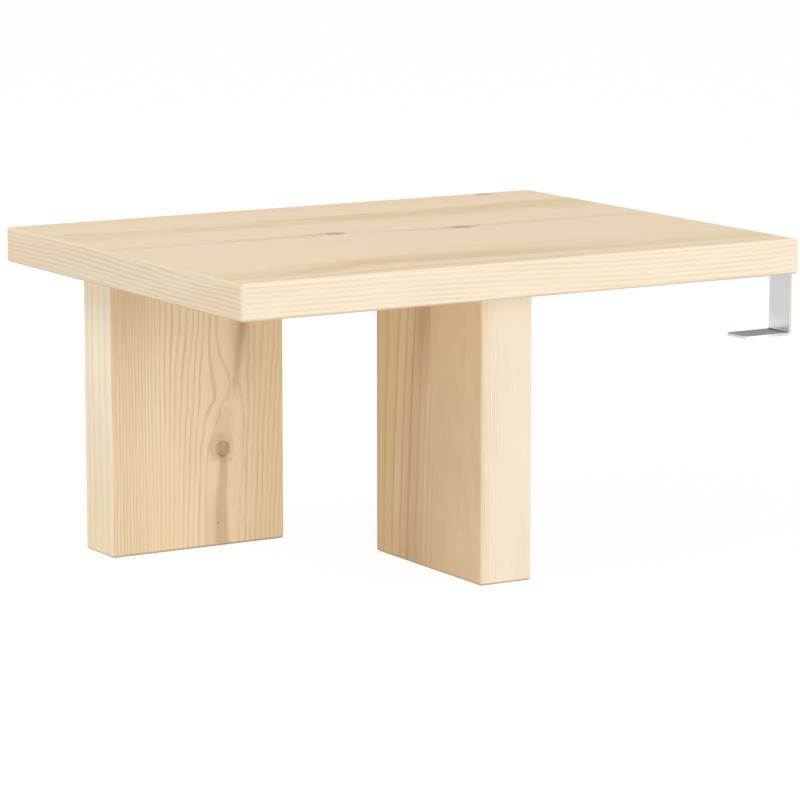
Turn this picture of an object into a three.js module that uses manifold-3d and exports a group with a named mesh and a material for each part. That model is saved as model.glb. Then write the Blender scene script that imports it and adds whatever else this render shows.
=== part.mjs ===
// A low pine nightstand that stands on two board legs and hooks onto a bed frame at its right end.
// Millimetres, +Z up, the front faces -Y. The origin is on the floor under the middle of the top.

import * as THREE from 'three';
import { RoundedBoxGeometry } from 'three/addons/geometries/RoundedBoxGeometry.js';
import { mergeVertices } from 'three/addons/utils/BufferGeometryUtils.js';
import Module from 'manifold-3d';

const wasm = await Module();
wasm.setup();

// The top: a pine board with a thin strip glued over the end grain at each short end
const TOP_LENGTH = 450;
const TOP_DEPTH = 350;
const TOP_THICKNESS = 25;
const LIPPING_THICKNESS = 3;

// The legs: two equal boards on end. The rear leg shows its broad face to the front, the front leg
// shows its narrow face.
const LEG_LENGTH = 210;
const LEG_WIDTH = 142;
const LEG_THICKNESS = 42;
const REAR_LEG_END_INSET = 42;
const REAR_LEG_REAR_INSET = 38;
const FRONT_LEG_OFFSET = 15;
const FRONT_LEG_FRONT_INSET = 54;

// Every outer wooden edge is rounded over
const EDGE_RADIUS = 2;

// Gap between a piece and the hole or pocket that it sits in
const FIT_CLEARANCE = 0.3;

// Wooden dowels on the middle line of each leg
const DOWEL_RADIUS = 5;
const DOWEL_LENGTH = 40;
const DOWEL_CHAMFER = 1;
const DOWEL_DEPTH_IN_TOP = 14;
const DOWEL_EDGE_DISTANCE = 16;

// Cam bolts, screwed into the top from below and held in the leg by the cam locks
const CAM_EDGE_DISTANCE = 39;
const CAM_DISTANCE_FROM_TOP = 34;
const BOLT_DISTANCE_FROM_FACE = 9.5;
const BOLT_THREAD_RADIUS = 3;
const BOLT_THREAD_LENGTH = 11;
const BOLT_SHANK_RADIUS = 3.5;
const BOLT_NECK_RADIUS = 2.2;
const BOLT_NECK_LENGTH = 8;
const BOLT_HEAD_RADIUS = 3.3;
const BOLT_HEAD_LENGTH = 3.6;
const BOLT_CHAMFER = 0.8;

// Cam locks, round drums let into the leg from the face that is turned away from the front left
const CAM_RADIUS = 7.5;
const CAM_DEPTH = 13.5;
const CAM_WALL = 2.6;
const CAM_TURN_DEGREES = 100;
const CAM_MARK_LENGTH = 2;
const CAM_MARK_WIDTH = 2;
const CAM_MARK_DEPTH = 0.5;
const CAM_MARK_RIM_GAP = 0.5;

// Hook brackets, a steel strip bent to a C that is open towards the legs. The upper flange is let
// into the underside of the top, and the gap takes the board of a bed frame.
const HOOK_WIDTH = 24;
const HOOK_THICKNESS = 2;
const HOOK_GAP = 42;
const HOOK_TAB_LENGTH = 40;
const HOOK_FLANGE_LENGTH = 50;
const HOOK_BEND_RADIUS = 1;
const HOOK_CORNER_RADIUS = 4;
const HOOK_SIDE_INSET = 3;

// Countersunk wood screws that hold the hook brackets
const SCREW_HEAD_RADIUS = 3.5;
const SCREW_SHANK_RADIUS = 1.75;
const SCREW_LENGTH = 16;
const SCREW_TIP_LENGTH = 4;
const SCREW_DISTANCE_FROM_END = 12;
const SCREW_DISTANCE_FROM_PLATE = 16;

// Cross-shaped driver recesses: length and width of a slot, and its depth
const SCREW_RECESS = { length: 3.8, width: 0.9, depth: 1.2 };
const BOLT_RECESS = { length: 3.6, width: 0.9, depth: 1.2 };
const CAM_RECESS = { length: 8, width: 1.4, depth: 3 };

// Smoothness of curved surfaces, and how far a cutting shape reaches past the face that it opens
const EDGE_SEGMENTS = 3;
const BEND_SEGMENTS = 4;
const ROUND_SEGMENTS = 24;
const OVERSHOOT = 1;

const pine = new THREE.MeshStandardMaterial({ color: '#e9d5b6', roughness: 0.62, metalness: 0 });
const lippingPine = new THREE.MeshStandardMaterial({ color: '#efddc0', roughness: 0.62, metalness: 0 });
const beech = new THREE.MeshStandardMaterial({ color: '#cfae82', roughness: 0.7, metalness: 0 });
const hookSteel = new THREE.MeshStandardMaterial({ color: '#cdd0d4', roughness: 0.32, metalness: 1 });
const zincCast = new THREE.MeshStandardMaterial({ color: '#a9abae', roughness: 0.45, metalness: 1 });
const platedSteel = new THREE.MeshStandardMaterial({ color: '#c3c4c1', roughness: 0.3, metalness: 1 });

// A closed geometry as a solid that can be cut and joined. Triangles that shrink to a line where a
// turned profile meets its axis are left out.
function solid(geometry) {
  const bare = geometry.clone();
  bare.deleteAttribute('normal');
  bare.deleteAttribute('uv');
  const merged = mergeVertices(bare);
  const corners = merged.index.array;
  const kept = [];
  for (let i = 0; i < corners.length; i += 3) {
    const [a, b, c] = corners.slice(i, i + 3);
    if (a !== b && b !== c && c !== a) {
      kept.push(a, b, c);
    }
  }
  return new wasm.Manifold(new wasm.Mesh({
    numProp: 3,
    vertProperties: merged.attributes.position.array,
    triVerts: Uint32Array.from(kept),
  }));
}

function piece(name, body, material) {
  const { vertProperties, triVerts } = body.getMesh();
  const geometry = new THREE.BufferGeometry();
  geometry.setAttribute('position', new THREE.BufferAttribute(vertProperties, 3));
  geometry.setIndex(new THREE.BufferAttribute(triVerts, 1));
  geometry.computeVertexNormals();
  const mesh = new THREE.Mesh(geometry, material);
  mesh.name = name;
  return mesh;
}

function cutAll(body, cutters) {
  return cutters.reduce((rest, cutter) => rest.subtract(cutter), body);
}

// A box between two opposite corners
function box(low, high) {
  const size = new THREE.Vector3().subVectors(high, low);
  const middle = new THREE.Vector3().addVectors(low, high).multiplyScalar(0.5);
  return solid(new THREE.BoxGeometry(...size).translate(...middle));
}

// A round bar or bore along Z, with the middle of its lower end at the given place
function rod(x, y, bottom, radius, length) {
  const geometry = new THREE.CylinderGeometry(radius, radius, length, ROUND_SEGMENTS);
  return solid(geometry.rotateX(Math.PI / 2).translate(x, y, bottom + length / 2));
}

// A profile of radius and height pairs, turned about Z
function turned(profile) {
  const points = profile.map(([radius, height]) => new THREE.Vector2(radius, height));
  return solid(new THREE.LatheGeometry(points, ROUND_SEGMENTS).rotateX(Math.PI / 2));
}

// An outline in the XZ plane, given depth along Y on both sides of that plane
function extrudedAlongY(shape, depth) {
  const geometry = new THREE.ExtrudeGeometry(shape, {
    depth,
    bevelEnabled: false,
    curveSegments: BEND_SEGMENTS,
  });
  return solid(geometry.rotateX(Math.PI / 2).translate(0, depth / 2, 0));
}

// An outline in the XY plane, given height from the bottom up
function extrudedAlongZ(shape, bottom, height) {
  const geometry = new THREE.ExtrudeGeometry(shape, {
    depth: height,
    bevelEnabled: false,
    curveSegments: BEND_SEGMENTS,
  });
  return solid(geometry.translate(0, 0, bottom));
}

// A cross recess cut upwards into a face at height z
function crossRecess({ length, width, depth }, z) {
  const slot = (alongX, alongY) => box(
    new THREE.Vector3(-alongX / 2, -alongY / 2, z - OVERSHOOT),
    new THREE.Vector3(alongX / 2, alongY / 2, z + depth),
  );
  return slot(length, width).add(slot(width, length));
}

// Both legs are the same board. In its own frame a leg stands on the floor with its width along X,
// and the hidden face with the cam locks looks along +Y.
const REAR_LEG = {
  name: 'rear_leg',
  x: REAR_LEG_END_INSET + (LEG_WIDTH - TOP_LENGTH) / 2,
  y: (TOP_DEPTH - LEG_THICKNESS) / 2 - REAR_LEG_REAR_INSET,
  turn: 0,
  sides: { left: -1, right: 1 },
};
const FRONT_LEG = {
  name: 'front_leg',
  x: FRONT_LEG_OFFSET,
  y: FRONT_LEG_FRONT_INSET + (LEG_WIDTH - TOP_DEPTH) / 2,
  turn: -Math.PI / 2,
  sides: { front: 1, rear: -1 },
};
const LEGS = [REAR_LEG, FRONT_LEG];

const DOWEL_X = LEG_WIDTH / 2 - DOWEL_EDGE_DISTANCE;
const CAM_X = LEG_WIDTH / 2 - CAM_EDGE_DISTANCE;
const BOLT_Y = LEG_THICKNESS / 2 - BOLT_DISTANCE_FROM_FACE;
const CAM_Z = LEG_LENGTH - CAM_DISTANCE_FROM_TOP;
const DOWEL_DEPTH_IN_LEG = DOWEL_LENGTH - DOWEL_DEPTH_IN_TOP;

// A point of a leg's own frame, seen in the frame of the whole table
function onTable(leg, x, y) {
  const place = new THREE.Vector3(x, y, 0).applyAxisAngle(new THREE.Vector3(0, 0, 1), leg.turn);
  return { x: leg.x + place.x, y: leg.y + place.y };
}

// A rounded board cut square at the shoulder, with blind bores for its dowels, bolts and cams
function legBoard() {
  const tall = LEG_LENGTH + EDGE_RADIUS + OVERSHOOT;
  const rounded = new RoundedBoxGeometry(LEG_WIDTH, LEG_THICKNESS, tall, EDGE_SEGMENTS, EDGE_RADIUS);
  const board = solid(rounded.translate(0, 0, tall / 2));
  const shoulder = box(
    new THREE.Vector3(-LEG_WIDTH, -LEG_THICKNESS, LEG_LENGTH),
    new THREE.Vector3(LEG_WIDTH, LEG_THICKNESS, tall + OVERSHOOT),
  );
  const cutters = [shoulder];
  for (const side of [-1, 1]) {
    const dowelDepth = DOWEL_DEPTH_IN_LEG + FIT_CLEARANCE;
    const dowelBottom = LEG_LENGTH - dowelDepth;
    const dowelBore = rod(
      side * DOWEL_X, 0, dowelBottom, DOWEL_RADIUS + FIT_CLEARANCE, dowelDepth + OVERSHOOT,
    );
    const boltBore = rod(
      side * CAM_X, BOLT_Y, CAM_Z, BOLT_SHANK_RADIUS + FIT_CLEARANCE,
      CAM_DISTANCE_FROM_TOP + OVERSHOOT,
    );
    cutters.push(dowelBore, boltBore, camBore(side * CAM_X));
  }
  return cutAll(board, cutters);
}

// The blind bore for a cam lock, from the hidden face inwards
function camBore(x) {
  const radius = CAM_RADIUS + FIT_CLEARANCE;
  const depth = CAM_DEPTH + FIT_CLEARANCE;
  const length = depth + OVERSHOOT;
  const geometry = new THREE.CylinderGeometry(radius, radius, length, ROUND_SEGMENTS);
  return solid(geometry.translate(x, LEG_THICKNESS / 2 - depth + length / 2, CAM_Z));
}

// A turned pin with chamfered ends, standing on its lower end
function dowel() {
  const inner = DOWEL_RADIUS - DOWEL_CHAMFER;
  return turned([
    [0, 0],
    [inner, 0],
    [DOWEL_RADIUS, DOWEL_CHAMFER],
    [DOWEL_RADIUS, DOWEL_LENGTH - DOWEL_CHAMFER],
    [inner, DOWEL_LENGTH],
    [0, DOWEL_LENGTH],
  ]);
}

// Head, neck, shank and thread from the bottom up. Height zero is the underside of the top, where
// the shank's shoulder bears.
function camBolt() {
  const headBottom = -CAM_DISTANCE_FROM_TOP - BOLT_HEAD_LENGTH / 2;
  const headTop = headBottom + BOLT_HEAD_LENGTH;
  const neckTop = headTop + BOLT_NECK_LENGTH;
  const bolt = turned([
    [0, headBottom],
    [BOLT_HEAD_RADIUS - BOLT_CHAMFER, headBottom],
    [BOLT_HEAD_RADIUS, headBottom + BOLT_CHAMFER],
    [BOLT_HEAD_RADIUS, headTop - BOLT_CHAMFER],
    [BOLT_NECK_RADIUS, headTop],
    [BOLT_NECK_RADIUS, neckTop],
    [BOLT_SHANK_RADIUS, neckTop + BOLT_CHAMFER],
    [BOLT_SHANK_RADIUS, 0],
    [BOLT_THREAD_RADIUS, 0],
    [BOLT_THREAD_RADIUS, BOLT_THREAD_LENGTH - BOLT_CHAMFER],
    [BOLT_THREAD_RADIUS - BOLT_CHAMFER, BOLT_THREAD_LENGTH],
    [0, BOLT_THREAD_LENGTH],
  ]);
  return bolt.subtract(crossRecess(BOLT_RECESS, headBottom));
}

// A drum with its axis along Y, its face at y = 0 and the bolt coming in from +Z. A hollow, open at
// the back, holds the bolt's head. The head enters by a round mouth in the rim, and as the drum is
// turned, the neck runs along a slot from that mouth to the locked place.
function camLock() {
  const headGap = BOLT_HEAD_RADIUS + FIT_CLEARANCE;
  const neckGap = BOLT_NECK_RADIUS + FIT_CLEARANCE;
  const reach = CAM_RADIUS + OVERSHOOT;
  const hollowDepth = CAM_DEPTH - BOLT_DISTANCE_FROM_FACE + headGap + OVERSHOOT;
  const hollowRadius = CAM_RADIUS - CAM_WALL;
  const drum = new THREE.CylinderGeometry(CAM_RADIUS, CAM_RADIUS, CAM_DEPTH, ROUND_SEGMENTS);
  const hollow = new THREE.CylinderGeometry(hollowRadius, hollowRadius, hollowDepth, ROUND_SEGMENTS);
  hollow.translate(0, -BOLT_DISTANCE_FROM_FACE + headGap - hollowDepth / 2, 0);

  const locked = Math.PI / 2;
  const entry = locked + THREE.MathUtils.degToRad(CAM_TURN_DEGREES);
  const sweep = new THREE.Shape();
  sweep.moveTo(0, 0);
  sweep.absarc(0, 0, reach, locked, entry, false);
  const neckSlot = extrudedAlongY(sweep, 2 * neckGap).translate([0, -BOLT_DISTANCE_FROM_FACE, 0]);

  const neckStop = rod(0, -BOLT_DISTANCE_FROM_FACE, 0, neckGap, reach);
  const mouth = new THREE.CylinderGeometry(headGap, headGap, reach, ROUND_SEGMENTS);
  mouth.translate(0, reach / 2, 0).rotateZ(-Math.PI / 2).rotateY(-entry);
  mouth.translate(0, -BOLT_DISTANCE_FROM_FACE, 0);

  const recess = crossRecess(CAM_RECESS, 0).rotate([90, 0, 0]);
  return cutAll(solid(drum.translate(0, -CAM_DEPTH / 2, 0)), [
    solid(hollow), neckSlot, neckStop, solid(mouth), recess, camMark(),
  ]);
}

// A small arrow cut into the drum's face, which points at the bolt when the cam is locked
function camMark() {
  const tip = CAM_RADIUS - CAM_MARK_RIM_GAP;
  const arrow = new THREE.Shape();
  arrow.moveTo(0, tip);
  arrow.lineTo(-CAM_MARK_WIDTH / 2, tip - CAM_MARK_LENGTH);
  arrow.lineTo(CAM_MARK_WIDTH / 2, tip - CAM_MARK_LENGTH);
  return extrudedAlongY(arrow, 2 * CAM_MARK_DEPTH);
}

// A leg with the dowels, bolts and cams that hold it, placed under the top
function legAssembly(leg) {
  const group = new THREE.Group();
  group.add(piece(leg.name, legBoard(), pine));
  for (const [side, sign] of Object.entries(leg.sides)) {
    const pin = piece(`${leg.name}_dowel_${side}`, dowel(), beech);
    pin.position.set(sign * DOWEL_X, 0, LEG_LENGTH - DOWEL_DEPTH_IN_LEG);
    const bolt = piece(`${leg.name}_cam_bolt_${side}`, camBolt(), platedSteel);
    bolt.position.set(sign * CAM_X, BOLT_Y, LEG_LENGTH);
    const cam = piece(`${leg.name}_cam_lock_${side}`, camLock(), zincCast);
    cam.position.set(sign * CAM_X, LEG_THICKNESS / 2, CAM_Z);
    group.add(pin, bolt, cam);
  }
  group.position.set(leg.x, leg.y, 0);
  group.rotation.z = leg.turn;
  return group;
}

// The hook brackets, one at each corner of the right end. In its own frame a bracket has the outer
// face of its plate at x = 0, the middle of its width at y = 0 and the underside of the top at
// z = 0. The flange and the tab point along -X.
const HOOK_X = TOP_LENGTH / 2 - LIPPING_THICKNESS - FIT_CLEARANCE;
const HOOK_Y = (TOP_DEPTH - HOOK_WIDTH) / 2 - HOOK_SIDE_INSET;
const HOOKS = { front: -HOOK_Y, rear: HOOK_Y };
const SCREWS = {
  inner: SCREW_DISTANCE_FROM_END - HOOK_FLANGE_LENGTH,
  outer: -SCREW_DISTANCE_FROM_PLATE,
};

// The strip seen from its edge: flange, plate and tab with a bend between each two
function hookProfile() {
  const outer = HOOK_BEND_RADIUS + HOOK_THICKNESS;
  const bottom = -HOOK_GAP - HOOK_THICKNESS;
  const upperBend = HOOK_THICKNESS - outer;
  const lowerBend = bottom + outer;
  const quarter = Math.PI / 2;
  const outline = new THREE.Shape();
  outline.moveTo(-HOOK_FLANGE_LENGTH, HOOK_THICKNESS);
  outline.absarc(-outer, upperBend, outer, quarter, 0, true);
  outline.absarc(-outer, lowerBend, outer, 0, -quarter, true);
  outline.lineTo(-HOOK_TAB_LENGTH, bottom);
  outline.lineTo(-HOOK_TAB_LENGTH, -HOOK_GAP);
  outline.absarc(-outer, lowerBend, HOOK_BEND_RADIUS, -quarter, 0, false);
  outline.absarc(-outer, upperBend, HOOK_BEND_RADIUS, 0, quarter, false);
  outline.lineTo(-HOOK_FLANGE_LENGTH, 0);
  return outline;
}

// A strip seen from above, with its free end rounded at both corners. It can be widened all round.
function stripPlan(length, margin) {
  const end = -length - margin;
  const half = HOOK_WIDTH / 2 + margin;
  const radius = HOOK_CORNER_RADIUS + margin;
  const outline = new THREE.Shape();
  outline.moveTo(margin, -half);
  outline.lineTo(margin, half);
  outline.absarc(end + radius, half - radius, radius, Math.PI / 2, Math.PI, false);
  outline.absarc(end + radius, radius - half, radius, Math.PI, Math.PI * 1.5, false);
  return outline;
}

// A countersunk hole through the flange, wider than its screw by the fit clearance
function screwHole(x) {
  const head = SCREW_HEAD_RADIUS + FIT_CLEARANCE;
  const shank = SCREW_SHANK_RADIUS + FIT_CLEARANCE;
  return turned([
    [0, -OVERSHOOT],
    [head, -OVERSHOOT],
    [head, 0],
    [shank, head - shank],
    [shank, HOOK_THICKNESS + OVERSHOOT],
    [0, HOOK_THICKNESS + OVERSHOOT],
  ]).translate([x, 0, 0]);
}

function hookBracket() {
  const middle = -HOOK_GAP / 2;
  const lowerHeight = HOOK_GAP / 2 + HOOK_THICKNESS;
  const upperPlan = extrudedAlongZ(stripPlan(HOOK_FLANGE_LENGTH, 0), middle, -middle + HOOK_THICKNESS);
  const lowerPlan = extrudedAlongZ(stripPlan(HOOK_TAB_LENGTH, 0), middle - lowerHeight, lowerHeight);
  const strip = extrudedAlongY(hookProfile(), HOOK_WIDTH).intersect(upperPlan.add(lowerPlan));
  return cutAll(strip, Object.values(SCREWS).map(screwHole));
}

// A wood screw, head down, its head's face at height zero
function hookScrew() {
  const headHeight = SCREW_HEAD_RADIUS - SCREW_SHANK_RADIUS;
  const screw = turned([
    [0, 0],
    [SCREW_HEAD_RADIUS, 0],
    [SCREW_SHANK_RADIUS, headHeight],
    [SCREW_SHANK_RADIUS, SCREW_LENGTH - SCREW_TIP_LENGTH],
    [0, SCREW_LENGTH],
  ]);
  return screw.subtract(crossRecess(SCREW_RECESS, 0));
}

// The pocket for a flange, as deep as the strip is thick, and the pilot bores for its screws
function hookPocket(y) {
  const plan = stripPlan(HOOK_FLANGE_LENGTH, FIT_CLEARANCE);
  const pocket = extrudedAlongZ(plan, -OVERSHOOT, HOOK_THICKNESS + OVERSHOOT);
  const radius = SCREW_SHANK_RADIUS + FIT_CLEARANCE;
  const bores = Object.values(SCREWS).map((x) => rod(x, 0, 0, radius, SCREW_LENGTH + FIT_CLEARANCE));
  return [pocket, ...bores].map((cutter) => cutter.translate([HOOK_X, y, 0]));
}

// The bores in the top's underside for one leg's dowels and bolts
function legBoresInTop(leg) {
  return [-1, 1].flatMap((side) => {
    const pin = onTable(leg, side * DOWEL_X, 0);
    const bolt = onTable(leg, side * CAM_X, BOLT_Y);
    const pinDepth = DOWEL_DEPTH_IN_TOP + FIT_CLEARANCE + OVERSHOOT;
    const boltDepth = BOLT_THREAD_LENGTH + FIT_CLEARANCE + OVERSHOOT;
    return [
      rod(pin.x, pin.y, -OVERSHOOT, DOWEL_RADIUS + FIT_CLEARANCE, pinDepth),
      rod(bolt.x, bolt.y, -OVERSHOOT, BOLT_THREAD_RADIUS + FIT_CLEARANCE, boltDepth),
    ];
  });
}

// The whole top as one rounded slab with its underside at height zero, trimmed between two
// places along its length
function topSlab(from, to) {
  const slab = new RoundedBoxGeometry(
    TOP_LENGTH, TOP_DEPTH, TOP_THICKNESS, EDGE_SEGMENTS, EDGE_RADIUS,
  );
  const trim = box(
    new THREE.Vector3(from, -TOP_DEPTH, -TOP_THICKNESS),
    new THREE.Vector3(to, TOP_DEPTH, 2 * TOP_THICKNESS),
  );
  return solid(slab.translate(0, 0, TOP_THICKNESS / 2)).intersect(trim);
}

// The top board with a strip over each end, and the hook brackets with their screws
function topAssembly() {
  const group = new THREE.Group();
  const boardEnd = TOP_LENGTH / 2 - LIPPING_THICKNESS;
  const cutters = [...LEGS.flatMap(legBoresInTop), ...Object.values(HOOKS).flatMap(hookPocket)];
  const board = cutAll(topSlab(-boardEnd, boardEnd), cutters);
  group.add(
    piece('top_board', board, pine),
    piece('end_lipping_left', topSlab(-TOP_LENGTH, -boardEnd), lippingPine),
    piece('end_lipping_right', topSlab(boardEnd, TOP_LENGTH), lippingPine),
  );
  for (const [corner, y] of Object.entries(HOOKS)) {
    const bracket = piece(`hook_bracket_${corner}`, hookBracket(), hookSteel);
    bracket.position.set(HOOK_X, y, 0);
    group.add(bracket);
    for (const [place, x] of Object.entries(SCREWS)) {
      const screw = piece(`hook_screw_${corner}_${place}`, hookScrew(), platedSteel);
      screw.position.set(HOOK_X + x, y, 0);
      group.add(screw);
    }
  }
  group.position.z = LEG_LENGTH;
  return group;
}

const nightstand = new THREE.Group();
nightstand.add(topAssembly(), ...LEGS.map(legAssembly));

export default nightstand;
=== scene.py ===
# %% [markdown]
# A low pine nightstand, dressed in Blender. The lesson goes from the fixed frame of the solid model
# to the camera and the light, then to the wooden boards, the steel and zinc fittings, and last to
# the finishes. Lengths are metres, +Z is up and the front of the nightstand faces -Y.

# %% Load the frame
import math
from functools import partialmethod

import bmesh
import bpy
from mathutils import Matrix, Vector


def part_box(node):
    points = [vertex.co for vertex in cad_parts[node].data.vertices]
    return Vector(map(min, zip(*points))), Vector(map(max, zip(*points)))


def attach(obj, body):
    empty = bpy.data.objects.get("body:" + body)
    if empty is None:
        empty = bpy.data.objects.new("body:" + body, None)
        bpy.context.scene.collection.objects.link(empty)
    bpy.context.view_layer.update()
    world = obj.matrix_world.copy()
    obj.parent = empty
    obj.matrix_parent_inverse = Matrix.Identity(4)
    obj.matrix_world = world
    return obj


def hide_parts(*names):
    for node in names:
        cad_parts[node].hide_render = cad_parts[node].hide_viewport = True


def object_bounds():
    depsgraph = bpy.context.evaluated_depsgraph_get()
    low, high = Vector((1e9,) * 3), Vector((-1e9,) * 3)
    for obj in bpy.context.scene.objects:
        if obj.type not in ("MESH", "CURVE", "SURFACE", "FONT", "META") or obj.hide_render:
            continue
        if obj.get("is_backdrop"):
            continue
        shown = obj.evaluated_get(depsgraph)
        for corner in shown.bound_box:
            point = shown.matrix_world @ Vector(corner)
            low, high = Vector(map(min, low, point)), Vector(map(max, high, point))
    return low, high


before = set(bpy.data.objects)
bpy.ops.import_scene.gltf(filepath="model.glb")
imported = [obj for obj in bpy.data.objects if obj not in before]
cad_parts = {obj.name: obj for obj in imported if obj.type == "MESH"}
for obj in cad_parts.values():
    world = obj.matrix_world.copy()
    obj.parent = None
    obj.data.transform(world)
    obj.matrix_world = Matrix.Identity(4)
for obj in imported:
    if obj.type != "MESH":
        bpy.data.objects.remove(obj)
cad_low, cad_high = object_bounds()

MM = 0.001
cad_size = cad_high - cad_low
print("the solid model measures", [round(side / MM, 1) for side in cad_size], "mm")

# %% [markdown]
# The photograph was taken from the front left, a little above the top, with a long lens. The camera
# is described the way a photographer would: where it stands, which way it is turned, how far it is
# tipped down, and the focal length. These values come from matching the straight edges of the
# boards in the photograph.

# %% Camera
CAMERA_PLACE = Vector((-1.4389, -2.3776, 0.5898))
CAMERA_TURN = math.radians(31.21)
CAMERA_TIP = math.radians(9.72)
CAMERA_LENS = 176.3
SENSOR_WIDTH = 36.0

scene = bpy.context.scene
camera_data = bpy.data.cameras.new("photo_camera")
camera_data.sensor_width = SENSOR_WIDTH
camera_data.lens = CAMERA_LENS
camera = bpy.data.objects.new("photo_camera", camera_data)
camera.location = CAMERA_PLACE
camera.rotation_euler = (math.pi / 2 - CAMERA_TIP, 0, -CAMERA_TURN)
scene.collection.objects.link(camera)
scene.camera = camera
print("the camera stands", round(CAMERA_PLACE.length, 2), "m from the origin")

# %% [markdown]
# The light is a bright, nearly shadowless studio. A white world lights every face about evenly, so
# a colour renders about as it is written. One broad soft lamp in front makes the faces that look
# forwards the brightest, as they are in the photograph, and a weaker one lifts the left ends.

# %% Light
scene.view_settings.view_transform = "Standard"

WORLD_LEVEL = 0.66
LAMP_AIM = Vector((0, 0, 0.15))
LAMPS = {
    "front_softbox": {"place": (1.5, -3.3, 0.8), "size": (3.8, 1.8), "power": 43.5},
    "left_softbox": {"place": (-2.6, -0.5, 2.6), "size": (1.6, 1.6), "power": 33.5},
}


def soft_lamp(name, place, size, power):
    lamp = bpy.data.lights.new(name, "AREA")
    lamp.shape = "RECTANGLE"
    lamp.size, lamp.size_y = size
    lamp.energy = power
    holder = bpy.data.objects.new(name, lamp)
    holder.location = place
    toward = LAMP_AIM - Vector(place)
    holder.rotation_euler = toward.to_track_quat("-Z", "Y").to_euler()
    scene.collection.objects.link(holder)


for lamp_name, lamp_values in LAMPS.items():
    soft_lamp(lamp_name, **lamp_values)
print("lamps:", ", ".join(LAMPS))

# %% [markdown]
# Shader maths reads best as plain expressions. A Signal wraps one output socket of a shader node,
# and each Python operator on it adds one Math node. A Shader wraps the node tree of a material. Its
# node method makes any other node from a type, the node's settings and the values or links of its
# sockets.

# %% Shader maths


class Signal:
    """One output socket of a shader node that Python's operators work on."""

    def __init__(self, shader, socket):
        self.shader = shader
        self.socket = socket

    def math(self, operation, other=None):
        values = (self,) if other is None else (self, other)
        return self.shader.math(operation, *values)

    __add__ = __radd__ = partialmethod(math, "ADD")
    __sub__ = partialmethod(math, "SUBTRACT")
    __mul__ = __rmul__ = partialmethod(math, "MULTIPLY")
    __truediv__ = partialmethod(math, "DIVIDE")
    __neg__ = partialmethod(math, "MULTIPLY", -1.0)
    fract = partialmethod(math, "FRACT")
    floor = partialmethod(math, "FLOOR")
    root = partialmethod(math, "SQRT")
    size = partialmethod(math, "ABSOLUTE")
    exp = partialmethod(math, "EXPONENT")
    at_least = partialmethod(math, "MAXIMUM")
    at_most = partialmethod(math, "MINIMUM")

    def __rsub__(self, other):
        return self.shader.math("SUBTRACT", other, self)

    def rise(self, start, end):
        """A soft step that is 0 at start and before it, and 1 at end and past it."""
        sockets = {"Value": self, "From Min": min(start, end), "From Max": max(start, end)}
        if start > end:
            sockets.update({"To Min": 1.0, "To Max": 0.0})
        settings = {"interpolation_type": "SMOOTHSTEP"}
        return self.shader.node("ShaderNodeMapRange", settings, sockets)

    def hump(self, middle, width):
        """A smooth hill of height 1 around a value, a third as high one width away."""
        away = (self - middle) / width
        return (-(away * away)).exp()

    def curve(self, points):
        """A smooth curve through pairs of an input and an output, in rising order of the input."""
        inputs, outputs = zip(*points)
        start, reach = inputs[0], inputs[-1] - inputs[0]
        low, height = min(outputs), max(outputs) - min(outputs)
        shares = [((given - start) / reach, (got - low) / height) for given, got in points]
        share = (self - start) / reach
        bent = self.shader.node("ShaderNodeFloatCurve", {"points": shares}, {"Value": share})
        return bent * height + low


class Shader:
    """A node tree whose nodes are made by type."""

    def __init__(self, tree):
        self.tree = tree

    def node(self, kind, settings=None, sockets=None, output=0):
        made = self.tree.nodes.new(kind)
        for name, value in (settings or {}).items():
            if name == "points":
                self.set_points(made.mapping, value)
            else:
                setattr(made, name, value)
        for name, value in (sockets or {}).items():
            self.feed(made.inputs[name], value)
        return Signal(self, made.outputs[output])

    def feed(self, socket, value):
        if isinstance(value, Signal):
            self.tree.links.new(value.socket, socket)
        else:
            socket.default_value = value

    def set_points(self, mapping, points):
        line = mapping.curves[0].points
        line[0].location, line[1].location = points[0], points[-1]
        for place in points[1:-1]:
            line.new(*place)
        for bend in line:
            bend.handle_type = "AUTO_CLAMPED"
        mapping.extend = "HORIZONTAL"
        mapping.update()

    def math(self, operation, *values):
        return self.node("ShaderNodeMath", {"operation": operation}, dict(enumerate(values)))

    def mix(self, factor, first, second):
        """A colour between two others. Factor 0 gives the first."""
        sockets = {0: factor, 6: first, 7: second}
        return self.node("ShaderNodeMix", {"data_type": "RGBA"}, sockets, output=2)

    def parts(self, vector):
        split = self.node("ShaderNodeSeparateXYZ", None, {0: vector})
        return [Signal(self, output) for output in split.socket.node.outputs]

    def join(self, x, y, z):
        return self.node("ShaderNodeCombineXYZ", None, {0: x, 1: y, 2: z})

    def place(self, corner=(0, 0, 0)):
        """Millimetres along x, y and z from a corner, which is given in metres."""
        object_coordinates = self.node("ShaderNodeTexCoord", output=3)
        start = tuple(-value / MM for value in corner)
        sockets = {"Vector": object_coordinates, "Location": start, "Scale": (1 / MM,) * 3}
        return self.parts(self.node("ShaderNodeMapping", None, sockets))

    def facing(self):
        """The surface's own direction as x, y and z, each from -1 to 1."""
        return self.parts(self.node("ShaderNodeTexCoord", output=1))

    def noise(self, point, grain, detail=2.0, roughness=0.5):
        """Noise from 0 to 1, with features about grain millimetres long on each axis."""
        scale = tuple(1 / size for size in grain)
        stretched = self.node("ShaderNodeMapping", None, {"Vector": point, "Scale": scale})
        sockets = {"Vector": stretched, "Scale": 1.0, "Detail": detail, "Roughness": roughness}
        return self.node("ShaderNodeTexNoise", None, sockets)

    def bump(self, height, depth):
        """Relief whose hollows are about depth metres deep."""
        return self.node("ShaderNodeBump", None, {"Height": height, "Distance": depth})


def new_material(name):
    material = bpy.data.materials.new(name)
    material.use_nodes = True
    return material, Shader(material.node_tree)


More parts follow.
